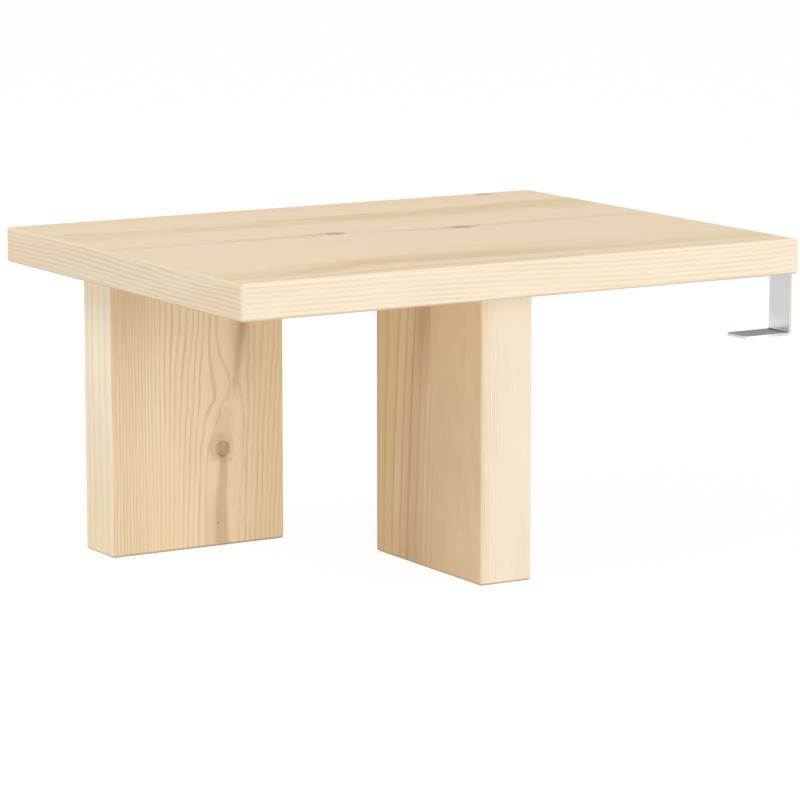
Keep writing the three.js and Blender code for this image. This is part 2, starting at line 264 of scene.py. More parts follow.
def set_surface(shader, sockets):
    surface = shader.tree.nodes["Principled BSDF"]
    for name, value in sockets.items():
        shader.feed(surface.inputs[name], value)


def srgb(red, green, blue):
    """A colour as it looks on screen, 0 to 255, turned into the linear colour of shaders."""
    shares = [value / 255 for value in (red, green, blue)]
    linear = [s / 12.92 if s <= 0.04045 else ((s + 0.055) / 1.055) ** 2.4 for s in shares]
    return (*linear, 1.0)


print("the shader helpers are ready")

# %% [markdown]
# Floor and background are plain white. A floor that only reflects light would come out grey in
# places, so most of it glows for rays that come straight from the camera or from a reflection. The
# rest is a matt surface, which keeps the soft shadow under the legs.

# %% Floor and background
FLOOR_REACH = 30.0
FLOOR_GLOW = 0.90
FLOOR_GLOW_LEVEL = 1.03
FLOOR_WHITE = srgb(252, 252, 252)
PLAIN_WHITE = (1.0, 1.0, 1.0, 1.0)


def seen_directly(shader):
    """1 for rays from the camera, from a reflection or through glass, and 0 for all others."""
    path = shader.node("ShaderNodeLightPath").socket.node.outputs
    kinds = ("Is Camera Ray", "Is Glossy Ray", "Is Transmission Ray")
    camera_ray, glossy_ray, through_ray = [Signal(shader, path[kind]) for kind in kinds]
    return camera_ray.at_least(glossy_ray).at_least(through_ray)


def make_floor():
    mesh = bmesh.new()
    bmesh.ops.create_grid(mesh, x_segments=1, y_segments=1, size=FLOOR_REACH)
    data = bpy.data.meshes.new("studio_floor")
    mesh.to_mesh(data)
    mesh.free()
    floor = bpy.data.objects.new("studio_floor", data)
    scene.collection.objects.link(floor)
    floor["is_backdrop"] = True
    material, shader = new_material("studio_white")
    set_surface(shader, {"Base Color": FLOOR_WHITE, "Roughness": 0.9, "Specular IOR Level": 0.0})
    matt = Signal(shader, shader.tree.nodes["Principled BSDF"].outputs[0])
    light = {"Color": PLAIN_WHITE, "Strength": FLOOR_GLOW_LEVEL}
    glow = shader.node("ShaderNodeEmission", None, light)
    factor = seen_directly(shader) * FLOOR_GLOW
    both = shader.node("ShaderNodeMixShader", None, {0: factor, 1: matt, 2: glow})
    shader.feed(shader.tree.nodes["Material Output"].inputs["Surface"], both)
    data.materials.append(material)


def make_world():
    world = bpy.data.worlds.new("studio_world")
    world.use_nodes = True
    scene.world = world
    shader = Shader(world.node_tree)
    background = shader.tree.nodes["Background"]
    shader.feed(background.inputs["Color"], PLAIN_WHITE)
    level = seen_directly(shader) * (1 - WORLD_LEVEL) + WORLD_LEVEL
    shader.feed(background.inputs["Strength"], level)


make_floor()
make_world()
print("the floor reaches", FLOOR_REACH, "m each way")

# %% [markdown]
# Every piece is first a bmesh, a mesh in memory that operators shape, and becomes an object only at
# the end. Holes are cut with Boolean modifiers that are applied at once, so that the finished mesh
# can be exported as it is.

# %% Mesh helpers
ROUND_STEPS = 48
TOLERANCE = 0.01 * MM
WELD = 0.002 * MM
SHARP_ANGLE = math.radians(30)
UP = Vector((0, 0, 1))


def to_object(name, mesh):
    """A finished bmesh as an object at the origin."""
    bmesh.ops.recalc_face_normals(mesh, faces=mesh.faces)
    data = bpy.data.meshes.new(name)
    mesh.to_mesh(data)
    mesh.free()
    made = bpy.data.objects.new(name, data)
    scene.collection.objects.link(made)
    return made


def box_mesh(low, high):
    mesh = bmesh.new()
    bmesh.ops.create_cube(mesh, size=1)
    bmesh.ops.scale(mesh, vec=high - low, verts=mesh.verts)
    bmesh.ops.translate(mesh, vec=(high + low) / 2, verts=mesh.verts)
    return mesh


def round_edges(mesh, edges, radius, steps):
    bmesh.ops.bevel(
        mesh, geom=list(edges), offset=radius, offset_type="OFFSET", affect="EDGES",
        segments=steps, profile=0.5, material=-1, clamp_overlap=True,
    )


def bar(radius, low, high, turn=None, centre=(0, 0, 0), end_radius=None):
    """A round bar between two heights, turned about the origin and then moved to a centre."""
    mesh = bmesh.new()
    bmesh.ops.create_cone(
        mesh, cap_ends=True, segments=ROUND_STEPS, radius1=radius,
        radius2=radius if end_radius is None else end_radius, depth=high - low,
    )
    bmesh.ops.translate(mesh, vec=UP * (high + low) / 2, verts=mesh.verts)
    if turn:
        bmesh.ops.rotate(mesh, matrix=turn, verts=mesh.verts)
    bmesh.ops.translate(mesh, vec=centre, verts=mesh.verts)
    return to_object("cutter", mesh)


def cut(body, cutters):
    """Takes each cutter out of the body, and welds the slivers that a cut can leave."""
    for cutter in cutters:
        knife = body.modifiers.new("cut", "BOOLEAN")
        knife.operation = "DIFFERENCE"
        knife.solver = "EXACT"
        knife.object = cutter
        mesh = bmesh.new()
        mesh.from_object(body, bpy.context.evaluated_depsgraph_get())
        bmesh.ops.remove_doubles(mesh, verts=mesh.verts, dist=WELD)
        body.modifiers.clear()
        mesh.to_mesh(body.data)
        mesh.free()
        bpy.data.objects.remove(cutter)


def box_centre(node, height=None):
    """The middle of a node's box, or the point over or under it at a given height."""
    low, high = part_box(node)
    centre = (low + high) / 2
    if height is not None:
        centre.z = height
    return centre


def stand_for(piece, node):
    """Puts a finished piece in the place of its node, with smooth curves and flat faces."""
    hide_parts(node)
    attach(piece, "root")
    for face in piece.data.polygons:
        face.use_smooth = True
    piece.data.set_sharp_from_angle(angle=SHARP_ANGLE)
    weighted = piece.modifiers.new("weighted_normals", "WEIGHTED_NORMAL")
    weighted.keep_sharp = True
    print(piece.name, "has", len(piece.data.polygons), "faces")


def coat(piece, finish):
    """Gives a piece its finish."""
    piece.data.materials.append(finish)


print("the mesh helpers are ready")

# %% [markdown]
# The legs are planed boards on end, with every outer edge rounded over as a router does it. A cube
# scaled to the leg's box and bevelled gives that. The four edges at the shoulder stay square,
# because the top presses on them, so the edges to round are picked by where they lie.

# %% Legs
EDGE_RADIUS = 2 * MM
EDGE_STEPS = 6

top_low, top_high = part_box("top_board")
SHOULDER = top_low.z


def edges_off_plane(mesh, axis, place):
    """The edges that don't lie in a plane across an axis."""
    def lies_in_plane(edge):
        return all(abs(vert.co[axis] - place) < TOLERANCE for vert in edge.verts)
    return [edge for edge in mesh.edges if not lies_in_plane(edge)]


def leg_board(node):
    mesh = box_mesh(*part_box(node))
    round_edges(mesh, edges_off_plane(mesh, 2, SHOULDER), EDGE_RADIUS, EDGE_STEPS)
    return to_object(node + "_board", mesh)


leg_boards = {node: leg_board(node) for node in ("rear_leg", "front_leg")}

# %% [markdown]
# Each leg is held by two cam locks and placed by two dowels, so the board has bores: wide blind
# ones from its hidden face for the cams, and narrower ones down from the shoulder for bolts and
# dowels. The bores are found from the boxes of the pieces that sit in them. The hidden face looks
# back on the rear leg and to the right on the front leg.

# %% Bores in the legs and in the top
FIT = 0.3 * MM
OVERSHOOT = 1 * MM
FACING_FRONT = Matrix.Rotation(math.pi / 2, 3, "X")
TO_BACK = Matrix.Rotation(math.pi, 3, "Z") @ FACING_FRONT
TO_RIGHT = Matrix.Rotation(math.pi / 2, 3, "Z") @ FACING_FRONT
LEG_SIDES = {"rear_leg": ("left", "right"), "front_leg": ("front", "rear")}
HIDDEN_FACE = {"rear_leg": (1, TO_BACK), "front_leg": (0, TO_RIGHT)}


def cam_bore(node, leg):
    """A blind bore for a cam lock. Its axis runs out of the leg's hidden face."""
    low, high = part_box(node)
    axis, turn = HIDDEN_FACE[leg]
    radius = (high.z - low.z) / 2 + FIT
    centre = box_centre(node)
    centre[axis] = 0
    return bar(radius, low[axis] - FIT, high[axis] + OVERSHOOT, turn, centre)


def bore_along(node, low_z, high_z):
    """An upright bore round a dowel or bolt."""
    low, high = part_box(node)
    return bar((high.x - low.x) / 2 + FIT, low_z, high_z, None, box_centre(node, 0))


top_cutters = []
for leg, board in leg_boards.items():
    cutters = []
    for side in LEG_SIDES[leg]:
        cam, bolt, dowel = [f"{leg}_{kind}_{side}" for kind in ("cam_lock", "cam_bolt", "dowel")]
        cutters.append(cam_bore(cam, leg))
        for pin, bottom in ((bolt, box_centre(cam).z), (dowel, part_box(dowel)[0].z - FIT)):
            cutters.append(bore_along(pin, bottom, SHOULDER + OVERSHOOT))
            top_cutters.append(bore_along(pin, SHOULDER - OVERSHOOT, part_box(pin)[1].z + FIT))
    cut(board, cutters)
    stand_for(board, leg)

# %% [markdown]
# The top is one board with a thin strip, the lipping, glued over the end grain at each short end.
# On the board only the four long edges are rounded. On a lipping everything is rounded except the
# edges of the glued face, so that the three pieces together have one smooth outline.

# %% Top and lippings
def top_mesh():
    mesh = box_mesh(top_low, top_high)
    long_edges = [e for e in mesh.edges if abs(e.verts[0].co.x - e.verts[1].co.x) > TOLERANCE]
    round_edges(mesh, long_edges, EDGE_RADIUS, EDGE_STEPS)
    return to_object("top_board_slab", mesh)


def lipping(node, glued_x):
    mesh = box_mesh(*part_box(node))
    round_edges(mesh, edges_off_plane(mesh, 0, glued_x), EDGE_RADIUS, EDGE_STEPS)
    return to_object(node + "_strip", mesh)


top_slab = top_mesh()
left_lipping = lipping("end_lipping_left", top_low.x)
right_lipping = lipping("end_lipping_right", top_high.x)

# %% [markdown]
# The steel hook at each right corner is a flat strip bent twice. A bmesh can be bent the same way:
# a short bar for the tab, whose end face is spun up round the first bend, pulled up for the plate,
# spun over round the second bend and pulled back for the flange. The free ends get round corners,
# and all sharp edges a slight break, as on tumbled steel.

# %% Hook brackets
STRIP = 2 * MM
BEND_RADIUS = 1 * MM
BEND_STEPS = 8
BEND_TURN = math.pi / 2
TIP_RADIUS = 4 * MM
TIP_STEPS = 8
STEEL_EDGE = 0.25 * MM
STEEL_EDGE_STEPS = 2
STEEL_EDGE_ANGLE = math.radians(40)
TAB_TIP = 40 * MM
SCREW_SHANK_RADIUS = 1.75 * MM


def farthest_face(mesh, direction):
    return max(mesh.faces, key=lambda face: face.calc_center_median().dot(direction))


def bend_up(mesh, face, centre):
    """Spins an end face a quarter turn about a line along Y, and gives the new end face."""
    bent = bmesh.ops.spin(
        mesh, geom=[face, *face.edges, *face.verts], cent=centre, axis=(0, -1, 0),
        angle=BEND_TURN, steps=BEND_STEPS, use_merge=False, use_duplicate=False,
    )
    return [made for made in bent["geom_last"] if isinstance(made, bmesh.types.BMFace)][0]


def pull(mesh, face, way, keep=False):
    """Extrudes an end face by a vector. The first face of a new piece is kept, to close it."""
    pulled = bmesh.ops.extrude_face_region(mesh, geom=[face])["geom"]
    moved = [made for made in pulled if isinstance(made, bmesh.types.BMVert)]
    bmesh.ops.translate(mesh, vec=way, verts=moved)
    if not keep:
        bmesh.ops.delete(mesh, geom=[face], context="FACES_ONLY")
    return [made for made in pulled if isinstance(made, bmesh.types.BMFace)][0]


def hook_mesh(node):
    low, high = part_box(node)
    bend_x = high.x - STRIP - BEND_RADIUS
    tab_low = Vector((high.x - TAB_TIP, low.y, low.z))
    mesh = box_mesh(tab_low, Vector((bend_x, high.y, low.z + STRIP)))
    lower_bend = Vector((bend_x, 0, low.z + STRIP + BEND_RADIUS))
    upper_bend = Vector((bend_x, 0, high.z - STRIP - BEND_RADIUS))
    end = bend_up(mesh, farthest_face(mesh, Vector((1, 0, 0))), lower_bend)
    end = pull(mesh, end, upper_bend - lower_bend)
    end = bend_up(mesh, end, upper_bend)
    end = pull(mesh, end, Vector((low.x - bend_x, 0, 0)))
    return mesh


def tip_edges(mesh, node):
    """The short upright edges at the corners of the two free ends."""
    low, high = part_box(node)
    ends = (low.x, high.x - TAB_TIP)

    def is_tip(edge):
        first, second = [vert.co for vert in edge.verts]
        upright = (first - second).xy.length < TOLERANCE
        return upright and min(abs(first.x - end) for end in ends) < TOLERANCE
    return [edge for edge in mesh.edges if is_tip(edge)]


def break_edges(mesh):
    sharp = [e for e in mesh.edges if e.is_manifold and e.calc_face_angle() > STEEL_EDGE_ANGLE]
    round_edges(mesh, sharp, STEEL_EDGE, STEEL_EDGE_STEPS)


def countersink(screw):
    """A conical seat and a through hole in the flange for one of its screws."""
    low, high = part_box(screw)
    centre = box_centre(screw, low.z)
    head = (high.x - low.x) / 2 + FIT
    shank = SCREW_SHANK_RADIUS + FIT
    cone = bar(head, 0, head - shank, None, centre, end_radius=shank)
    hole = bar(shank, -OVERSHOOT, STRIP + OVERSHOOT, None, centre)
    mouth = bar(head, -OVERSHOOT, TOLERANCE, None, centre)
    return [mouth, cone, hole]


hooks = {}
for side in ("front", "rear"):
    node = "hook_bracket_" + side
    mesh = hook_mesh(node)
    round_edges(mesh, tip_edges(mesh, node), TIP_RADIUS, TIP_STEPS)
    break_edges(mesh)
    hooks[side] = to_object(node + "_strip", mesh)
    for place in ("inner", "outer"):
        cut(hooks[side], countersink(f"hook_screw_{side}_{place}"))
    stand_for(hooks[side], node)

# %% [markdown]
# The flange of each hook is let into the underside of the top, in a pocket that is a little wider
# and longer, and as deep as the strip is thick. The pocket runs out under the lipping's joint, so
# only the board is cut. Pilot holes for the screws go on into the wood.

# %% Pockets for the hooks
def pocket(node):
    low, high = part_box(node)
    margin = Vector((FIT, FIT, 0))
    bottom = Vector((low.x, low.y, SHOULDER - OVERSHOOT)) - margin
    ceiling = Vector((top_high.x + OVERSHOOT, high.y, high.z)) + margin
    mesh = box_mesh(bottom, ceiling)
    corners = [e for e in mesh.edges if (e.verts[0].co - e.verts[1].co).xy.length < TOLERANCE]
    left = [e for e in corners if abs(e.verts[0].co.x - bottom.x) < TOLERANCE]
    round_edges(mesh, left, TIP_RADIUS + FIT, TIP_STEPS)
    return to_object("cutter", mesh)


def pilot_hole(screw):
    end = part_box(screw)[1].z + FIT
    return bar(SCREW_SHANK_RADIUS + FIT, SHOULDER, end, None, box_centre(screw, 0))


for side in ("front", "rear"):
    top_cutters.append(pocket("hook_bracket_" + side))
    for place in ("inner", "outer"):
        top_cutters.append(pilot_hole(f"hook_screw_{side}_{place}"))
cut(top_slab, top_cutters)
stand_for(top_slab, "top_board")
stand_for(left_lipping, "end_lipping_left")
stand_for(right_lipping, "end_lipping_right")

# %% [markdown]
# Screws, bolts and dowels are turned pieces. Half an outline, spun once about Z, gives each one.
# A thread is a small triangle spun many times while it climbs, and a cross recess is two slots cut
# into the head. The thread is added last, because a cut wants a body that is one closed shell.

# %% Turned pieces
THREAD_STEPS = 20
THREAD_ROOT = 0.1
THREAD_SPREAD = 0.3
RECESS_ROUNDING = 0.4
RECESS_STEPS = 3
POLE_GAP = 0.001 * MM


def turned_mesh(outline):
    """Pairs of radius and height in millimetres, from axis to axis, spun about Z."""
    mesh = bmesh.new()
    verts = [mesh.verts.new((radius * MM, 0, height * MM)) for radius, height in outline]
    edges = [mesh.edges.new(pair) for pair in zip(verts, verts[1:])]
    bmesh.ops.spin(
        mesh, geom=verts + edges, cent=(0, 0, 0), axis=UP, angle=2 * math.pi,
        steps=ROUND_STEPS, use_merge=True, use_duplicate=False,
    )
    bmesh.ops.remove_doubles(mesh, verts=mesh.verts, dist=POLE_GAP)
    bmesh.ops.recalc_face_normals(mesh, faces=mesh.faces)
    return mesh


def add_thread(piece, core, crest, pitch, start, end):
    """A triangular ridge that winds round a finished piece, all in millimetres. Its two lower
    corners lie a little inside the core, above and below the crest by a share of the pitch."""
    mesh = bmesh.new()
    mesh.from_mesh(piece.data)
    root, spread = core - THREAD_ROOT, pitch * THREAD_SPREAD
    corners = ((root, -spread), (crest, 0), (root, spread))
    verts = [mesh.verts.new((radius * MM, 0, (start + height) * MM)) for radius, height in corners]
    ridge = mesh.faces.new(verts)
    turns = (end - start) / pitch
    steps = round(turns * THREAD_STEPS)
    bmesh.ops.spin(
        mesh, geom=[ridge, *ridge.edges, *ridge.verts], cent=(0, 0, 0), axis=UP,
        dvec=UP * (end - start) * MM / steps, angle=2 * math.pi * turns, steps=steps,
        use_merge=False, use_duplicate=False,
    )
    bmesh.ops.recalc_face_normals(mesh, faces=mesh.faces)
    mesh.to_mesh(piece.data)
    mesh.free()


def cross_slots(length, width, depth, floor):
    """Two crossing slots, open downwards, in millimetres. floor is the height of the face that
    they are cut into."""
    slots = []
    for along_x, along_y in ((length, width), (width, length)):
        low = Vector((-along_x / 2, -along_y / 2, floor - 1)) * MM
        high = Vector((along_x / 2, along_y / 2, floor + depth)) * MM
        mesh = box_mesh(low, high)
        deep = [e for e in mesh.edges if min(v.co.z for v in e.verts) > high.z - TOLERANCE]
        round_edges(mesh, deep, width * RECESS_ROUNDING * MM, RECESS_STEPS)
        slots.append(to_object("cutter", mesh))
    return slots


def stand_at(piece, node, centre, turn=None):
    """Turns a piece about the origin, moves it there for good, and lets it stand for its node."""
    place = Matrix.Translation(centre)
    piece.data.transform(place @ turn.to_4x4() if turn else place)
    stand_for(piece, node)
    return piece


def screw_or_bolt(node, height, outline, recess, thread):
    """A turned core with a cross recess and a thread. Its height zero is put at a given height."""
    piece = to_object(node + "_steel", turned_mesh(outline))
    cut(piece, cross_slots(**recess))
    add_thread(piece, **thread)
    return stand_at(piece, node, box_centre(node, height))


SCREW = {
    "outline": [(0, 0), (3.35, 0), (3.5, 0.12), (1.4, 2.1), (1.3, 12.5), (0, 16)],
    "recess": {"length": 3.8, "width": 0.9, "depth": 1.2, "floor": 0},
    "thread": {"core": 1.3, "crest": 1.75, "pitch": 1.3, "start": 3.2, "end": 13.2},
}
SCREW_NODES = [f"hook_screw_{side}_{place}" for side in hooks for place in ("inner", "outer")]
screws = [screw_or_bolt(node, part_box(node)[0].z, **SCREW) for node in SCREW_NODES]

# %% [markdown]
# A cam bolt hangs from the top with its ball-shaped head inside the cam. It has a coarse wood
# thread, a collar that bears on the board, a thick shank and a thin neck. Its outline is given from
# the head upwards, with height zero at the collar.

# %% Cam bolts
BOLT = {
    "outline": [
        (0, -35.8), (2.3, -35.8), (3.3, -34.9), (3.3, -33.6), (2.2, -32.2), (2.2, -24.4),
        (3.5, -23.5), (3.5, -0.4), (3.3, 0), (2.1, 0), (2.1, 9.6), (0, 11),
    ],
    "recess": {"length": 3.6, "width": 0.9, "depth": 1.2, "floor": -35.8},
    "thread": {"core": 2.1, "crest": 3.0, "pitch": 2.0, "start": 1.0, "end": 9.4},
}
LEG_PLACES = [(leg, side) for leg, sides in LEG_SIDES.items() for side in sides]
bolts = [screw_or_bolt(f"{leg}_cam_bolt_{side}", SHOULDER, **BOLT) for leg, side in LEG_PLACES]

# %% [markdown]
# A dowel is pressed beech with straight flutes that let the glue spread, and chamfered ends. A
# circle whose every fourth point is drawn inwards has the fluted outline, and four rings of it,
# the end ones smaller, make the pin.

# %% Dowels
DOWEL_RADIUS = 5 * MM
DOWEL_CHAMFER = 1 * MM
FLUTE_DEPTH = 0.3 * MM
FLUTE_STEPS = 48
FLUTE_EVERY = 4


def raise_ring(mesh, face, height, widen, keep=False):
    """Extrudes an end face upwards and widens or narrows it about the Z axis."""
    pulled = pull(mesh, face, UP * height, keep)
    bmesh.ops.scale(mesh, vec=(widen, widen, 1), verts=pulled.verts)
    return pulled


def dowel_pin(node):
    low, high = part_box(node)
    straight = high.z - low.z - 2 * DOWEL_CHAMFER
    inner = (DOWEL_RADIUS - DOWEL_CHAMFER) / DOWEL_RADIUS
    mesh = bmesh.new()
    bmesh.ops.create_circle(mesh, cap_ends=True, segments=FLUTE_STEPS, radius=DOWEL_RADIUS * inner)
    face = next(iter(mesh.faces))
    for flute in list(face.verts)[::FLUTE_EVERY]:
        flute.co.xy *= 1 - FLUTE_DEPTH / DOWEL_RADIUS
    face = raise_ring(mesh, face, DOWEL_CHAMFER, 1 / inner, keep=True)
    face = raise_ring(mesh, face, straight, 1)
    raise_ring(mesh, face, DOWEL_CHAMFER, inner)
    return stand_at(to_object(node + "_pin", mesh), node, box_centre(node, low.z))


dowels = [dowel_pin(f"{leg}_dowel_{side}") for leg, side in LEG_PLACES]

# %% [markdown]
# A cam lock is a die-cast zinc drum, let into the leg flush with the hidden face. Behind its face
# it is hollow, with a slot in the rim for the neck of the bolt. On the face are a rim, a cross
# recess and a small arrow that points at the bolt when the cam is locked. The drum is built lying
# on its back with its face up, and then turned to look out of its leg.

# %% Cam locks
CAM_DISH = 0.35
CAM_OUTLINE = [
    (0, -CAM_DISH), (5.9, -CAM_DISH), (6.2, 0), (7.1, 0), (7.5, -0.4), (7.5, -13.5),
    (6.9, -13.5), (4.9, -13.1), (4.9, -5.9), (0, -5.9),
]
CAM_REACH = 9
CAM_NECK_HEIGHT = -9.5
CAM_NECK_RADIUS = 2.5
CAM_SLOT_HALF = 2.25
CAM_MOUTH_RADIUS = 3.5
CAM_TURN = math.radians(100)
CAM_RECESS = {"length": 8.0, "width": 1.4, "depth": 2.6 + CAM_DISH, "floor": 0}
CAM_ARROW = ((0, 5.6), (-1.0, 3.9), (1.0, 3.9))
CAM_ARROW_DEPTH = 0.35
CAM_ARROW_PRISM = 2


def arrow_cutter():
    floor = -(CAM_ARROW_DEPTH + CAM_DISH)
    mesh = bmesh.new()
    face = mesh.faces.new([mesh.verts.new(Vector((x, y, floor)) * MM) for x, y in CAM_ARROW])
    pull(mesh, face, UP * CAM_ARROW_PRISM * MM, keep=True)
    return to_object("cutter", mesh)


def neck_cutters():
    """Two bars for the neck and the head of the bolt, and the slot that joins them."""
    reach, half = CAM_REACH * MM, CAM_SLOT_HALF * MM
    height = UP * CAM_NECK_HEIGHT * MM
    to_neck = FACING_FRONT.inverted()
    to_mouth = Matrix.Rotation(CAM_TURN, 3, "Z") @ to_neck
    neck = bar(CAM_NECK_RADIUS * MM, 0, reach, to_neck, height)
    mouth = bar(CAM_MOUTH_RADIUS * MM, 0, reach, to_mouth, height)
    mesh = bmesh.new()
    corners = ((0, -half), (reach, -half), (reach, half), (0, half))
    face = mesh.faces.new([mesh.verts.new((0, y, z)) for y, z in corners])
    bmesh.ops.spin(
        mesh, geom=[face, *face.edges, *face.verts], cent=(0, 0, 0), axis=UP, angle=CAM_TURN,
        steps=ROUND_STEPS // 3, use_merge=False, use_duplicate=False,
    )
    bmesh.ops.remove_doubles(mesh, verts=mesh.verts, dist=POLE_GAP)
    bmesh.ops.translate(mesh, vec=height, verts=mesh.verts)
    return [neck, mouth, to_object("cutter", mesh)]


def cam_lock(node, leg):
    axis, turn = HIDDEN_FACE[leg]
    drum = to_object(node + "_drum", turned_mesh(CAM_OUTLINE))
    slots = cross_slots(**CAM_RECESS)
    for slot in slots:
        slot.data.transform(Matrix.Rotation(math.pi, 4, "X"))
    cut(drum, [*neck_cutters(), *slots, arrow_cutter()])
    centre = box_centre(node)
    centre[axis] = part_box(node)[1][axis]
    return stand_at(drum, node, centre, turn)


cams = [cam_lock(f"{leg}_cam_lock_{side}", leg) for leg, side in LEG_PLACES]

# %% [markdown]
# Pine grain is a solid pattern. A board is a slice out of a trunk, and the trunk is a stack of
# growth rings. So each board gets a ring number for every point inside it, and any face that is
# sawn or planed then shows the right lines by itself, also on the rounded edges. Within a ring, the
# pale early wood darkens slowly to a line of late wood and ends abruptly. On top of the rings come
# the fine fibres, resin ducts, slow changes of tint and darker end grain. The rounded edges are
# painted paler, partly as sanding and partly as a painted highlight, and the rounded edges that
# face down get a painted shade. Some faces, picked by their direction, also get a tone of their
# own, which is painted light and shade between the faces.

# %% Pine
SANDED_EDGE_AND_HIGHLIGHT = srgb(253, 242, 222)
PAINTED_UNDER_EDGE_SHADE = srgb(196, 162, 122)
RESIN = srgb(176, 134, 92)
FIBRE_LENGTH = 26.0
FIBRE_WIDTH = 0.4
DUCT_LENGTH = 5.0
DUCT_WIDTH = 0.22
CLOUD_LENGTH = 150.0
CLOUD_WIDTH = 28.0
YEAR_STEP = 7.3
YEAR_LENGTH = 90
EDGE_REACH = (2.3, 1.0)
CLOUD_STRENGTH = 0.22
FIBRE_STRENGTH = 0.13
DUCT_STRENGTH = 0.35
SANDED_AND_HIGHLIGHT_STRENGTH = 0.15
UNDER_EDGE_SHADE_STRENGTH = 0.5
END_STRENGTH = 0.8
PINE_ROUGHNESS = 0.57
PINE_RELIEF = 0.06 * MM


def late_wood(ring, start=0.30, peak=0.93):
    """How dark a point is within its ring, 0 for early wood and 1 for late wood. The darkness
    starts at one share of the ring's width, has its peak at another and is gone at the end."""
    inside = ring.fract()
    return inside.rise(start, peak) * inside.rise(1.0, peak + 0.01)


def good_years(shader, ring, along):
    """Some rings are darker than others: a strength from 0 to 1 that changes from ring to ring."""
    year = shader.join(ring.floor() * YEAR_STEP, along / YEAR_LENGTH, 0)
    return shader.noise(year, (1, 1, 1), 1.0).rise(0.28, 0.72)


def stretched(axis, length, width):
    """The size of a grain feature that is long on one axis."""
    return tuple(length if number == axis else width for number in range(3))


def near_edges(x, y, z, low, high):
    """1 on the rounded edges of a box, 0 on its faces and inside it, in millimetres."""
    gaps = [(at - start).at_most(end - at) for at, start, end in zip((x, y, z), low, high)]
    first, second, third = gaps
    return (first + second).at_most(second + third).at_most(first + third).rise(*EDGE_REACH)


def pine(name, corner, axis, box, figure, tones):
    """A pine finish. corner is the point that millimetres are counted from, axis is the number of
    the axis along the grain, and box is the board's lowest and highest corner in the row frame.
    figure gives the late wood, how far a face's tone has shifted, which is painted light and
    shade by the face's direction, and a list of masks and colours."""
    material, shader = new_material(name)
    x, y, z = shader.place(corner)
    point = shader.join(x, y, z)
    late, painted_face_light, marks = figure(shader, x, y, z, point)
    fibres = shader.noise(point, stretched(axis, FIBRE_LENGTH, FIBRE_WIDTH), 3.0, 0.65)
    ducts = shader.noise(point, stretched(axis, DUCT_LENGTH, DUCT_WIDTH), 1.0).rise(0.70, 0.78)
    clouds = shader.noise(point, stretched(axis, CLOUD_LENGTH, CLOUD_WIDTH))
    wood = shader.mix(late, tones["early"], tones["late"])
    wood = shader.mix(painted_face_light, wood, tones["painted_face_light"])
    wood = shader.mix(clouds.rise(0.40, 0.72) * CLOUD_STRENGTH, wood, tones["warm"])
    wood = shader.mix(fibres.rise(0.42, 0.78) * FIBRE_STRENGTH, wood, tones["late"])
    wood = shader.mix(ducts * late.rise(0.1, 0.6) * DUCT_STRENGTH, wood, RESIN)
    for mask, colour in marks:
        wood = shader.mix(mask, wood, colour)
    corners = [[(side - start) / MM for side, start in zip(end, corner)] for end in box]
    edges = near_edges(x, y, z, *corners)
    downward = shader.facing()[2].rise(-0.05, -0.6)
    # Rounded edges are paler, partly sanded and partly a painted highlight; edges that face down
    # get a painted shade.
    wood = shader.mix(edges * (1 - downward) * SANDED_AND_HIGHLIGHT_STRENGTH, wood, SANDED_EDGE_AND_HIGHLIGHT)
    wood = shader.mix(edges * downward * UNDER_EDGE_SHADE_STRENGTH, wood, PAINTED_UNDER_EDGE_SHADE)
    end_grain = shader.facing()[axis].size().rise(0.75, 0.98)
    wood = shader.mix(end_grain * END_STRENGTH, wood, tones["end"])
    roughness = PINE_ROUGHNESS - late * 0.08 + fibres * 0.10 - edges * 0.08 + end_grain * 0.12
    set_surface(shader, {
        "Base Color": wood,
        "Roughness": roughness,
        "Normal": shader.bump(late * 0.5 + fibres * 0.6 - ducts * 0.5, PINE_RELIEF),
    })
    return material


# %% [markdown]
# The top is a board sawn flat: its rings lie almost parallel to the upper face. So the face cuts
# them at a low angle, which gives a few wide soft bands with one crisp side, and the front edge
# shows the same rings as fine level lines. A curve across the board says how far the rings have
# climbed, and the depth below the face adds the rest. A thin streak with two small knots lies near
# the middle, and a reddish blush follows the bands near the front. The front rim of the upper face
# gets a pale line, a painted highlight, and the upper face a darker, warmer tone, a painted shade.

# %% Finish of the top
TOP_CORNER = (cad_low.x, cad_low.y, top_high.z)
TOP_BOX = (Vector((cad_low.x, cad_low.y, SHOULDER)), Vector((-cad_low.x, cad_high.y, top_high.z)))
TOP_RING = 3.4
TOP_TONES = {
    "early": srgb(248, 232, 207), "late": srgb(200, 170, 100), "painted_face_light": srgb(242, 215, 175),
    "warm": srgb(244, 213, 176), "end": srgb(222, 194, 154),
}
CLIMB = [
    (0, 3.6), (8, 2.45), (18, 1.55), (30, 1.1), (38, 0.98), (48, 0.78), (64, 0.56), (90, 0.34),
    (120, 0.2), (200, 0.2), (238, 0.3), (253, 0.56), (266, 0.73), (277, 0.79), (287, 0.92),
    (294, 1.04), (318, 1.35), (343, 1.95), (350, 2.1),
]
BAND_LINE = [
    (0, -30), (60, -24), (100, -12), (135, -3), (170, -4), (205, -8), (285, -13), (380, -18),
    (450, -20),
]
FRONT_SLOPE = [(0, 0.3), (60, 0.1), (130, 0), (230, -0.8), (330, -1.5), (400, -1.6), (450, -1.2)]
STREAK_LINE = [(0, 196), (100, 194), (184, 194), (225, 187), (281, 180), (363, 183), (450, 180)]
STREAK_DEPTH = [
    (0, 0.35), (50, 0.3), (105, 0.55), (170, 0.75), (184, 0.8), (200, 0.3), (235, 0.4),
    (262, 0.6), (281, 0.8), (300, 0.55), (340, 0.4), (400, 0.2), (435, 0.35), (450, 0.3),
]
STREAK_HALF_WIDTH = 6.0
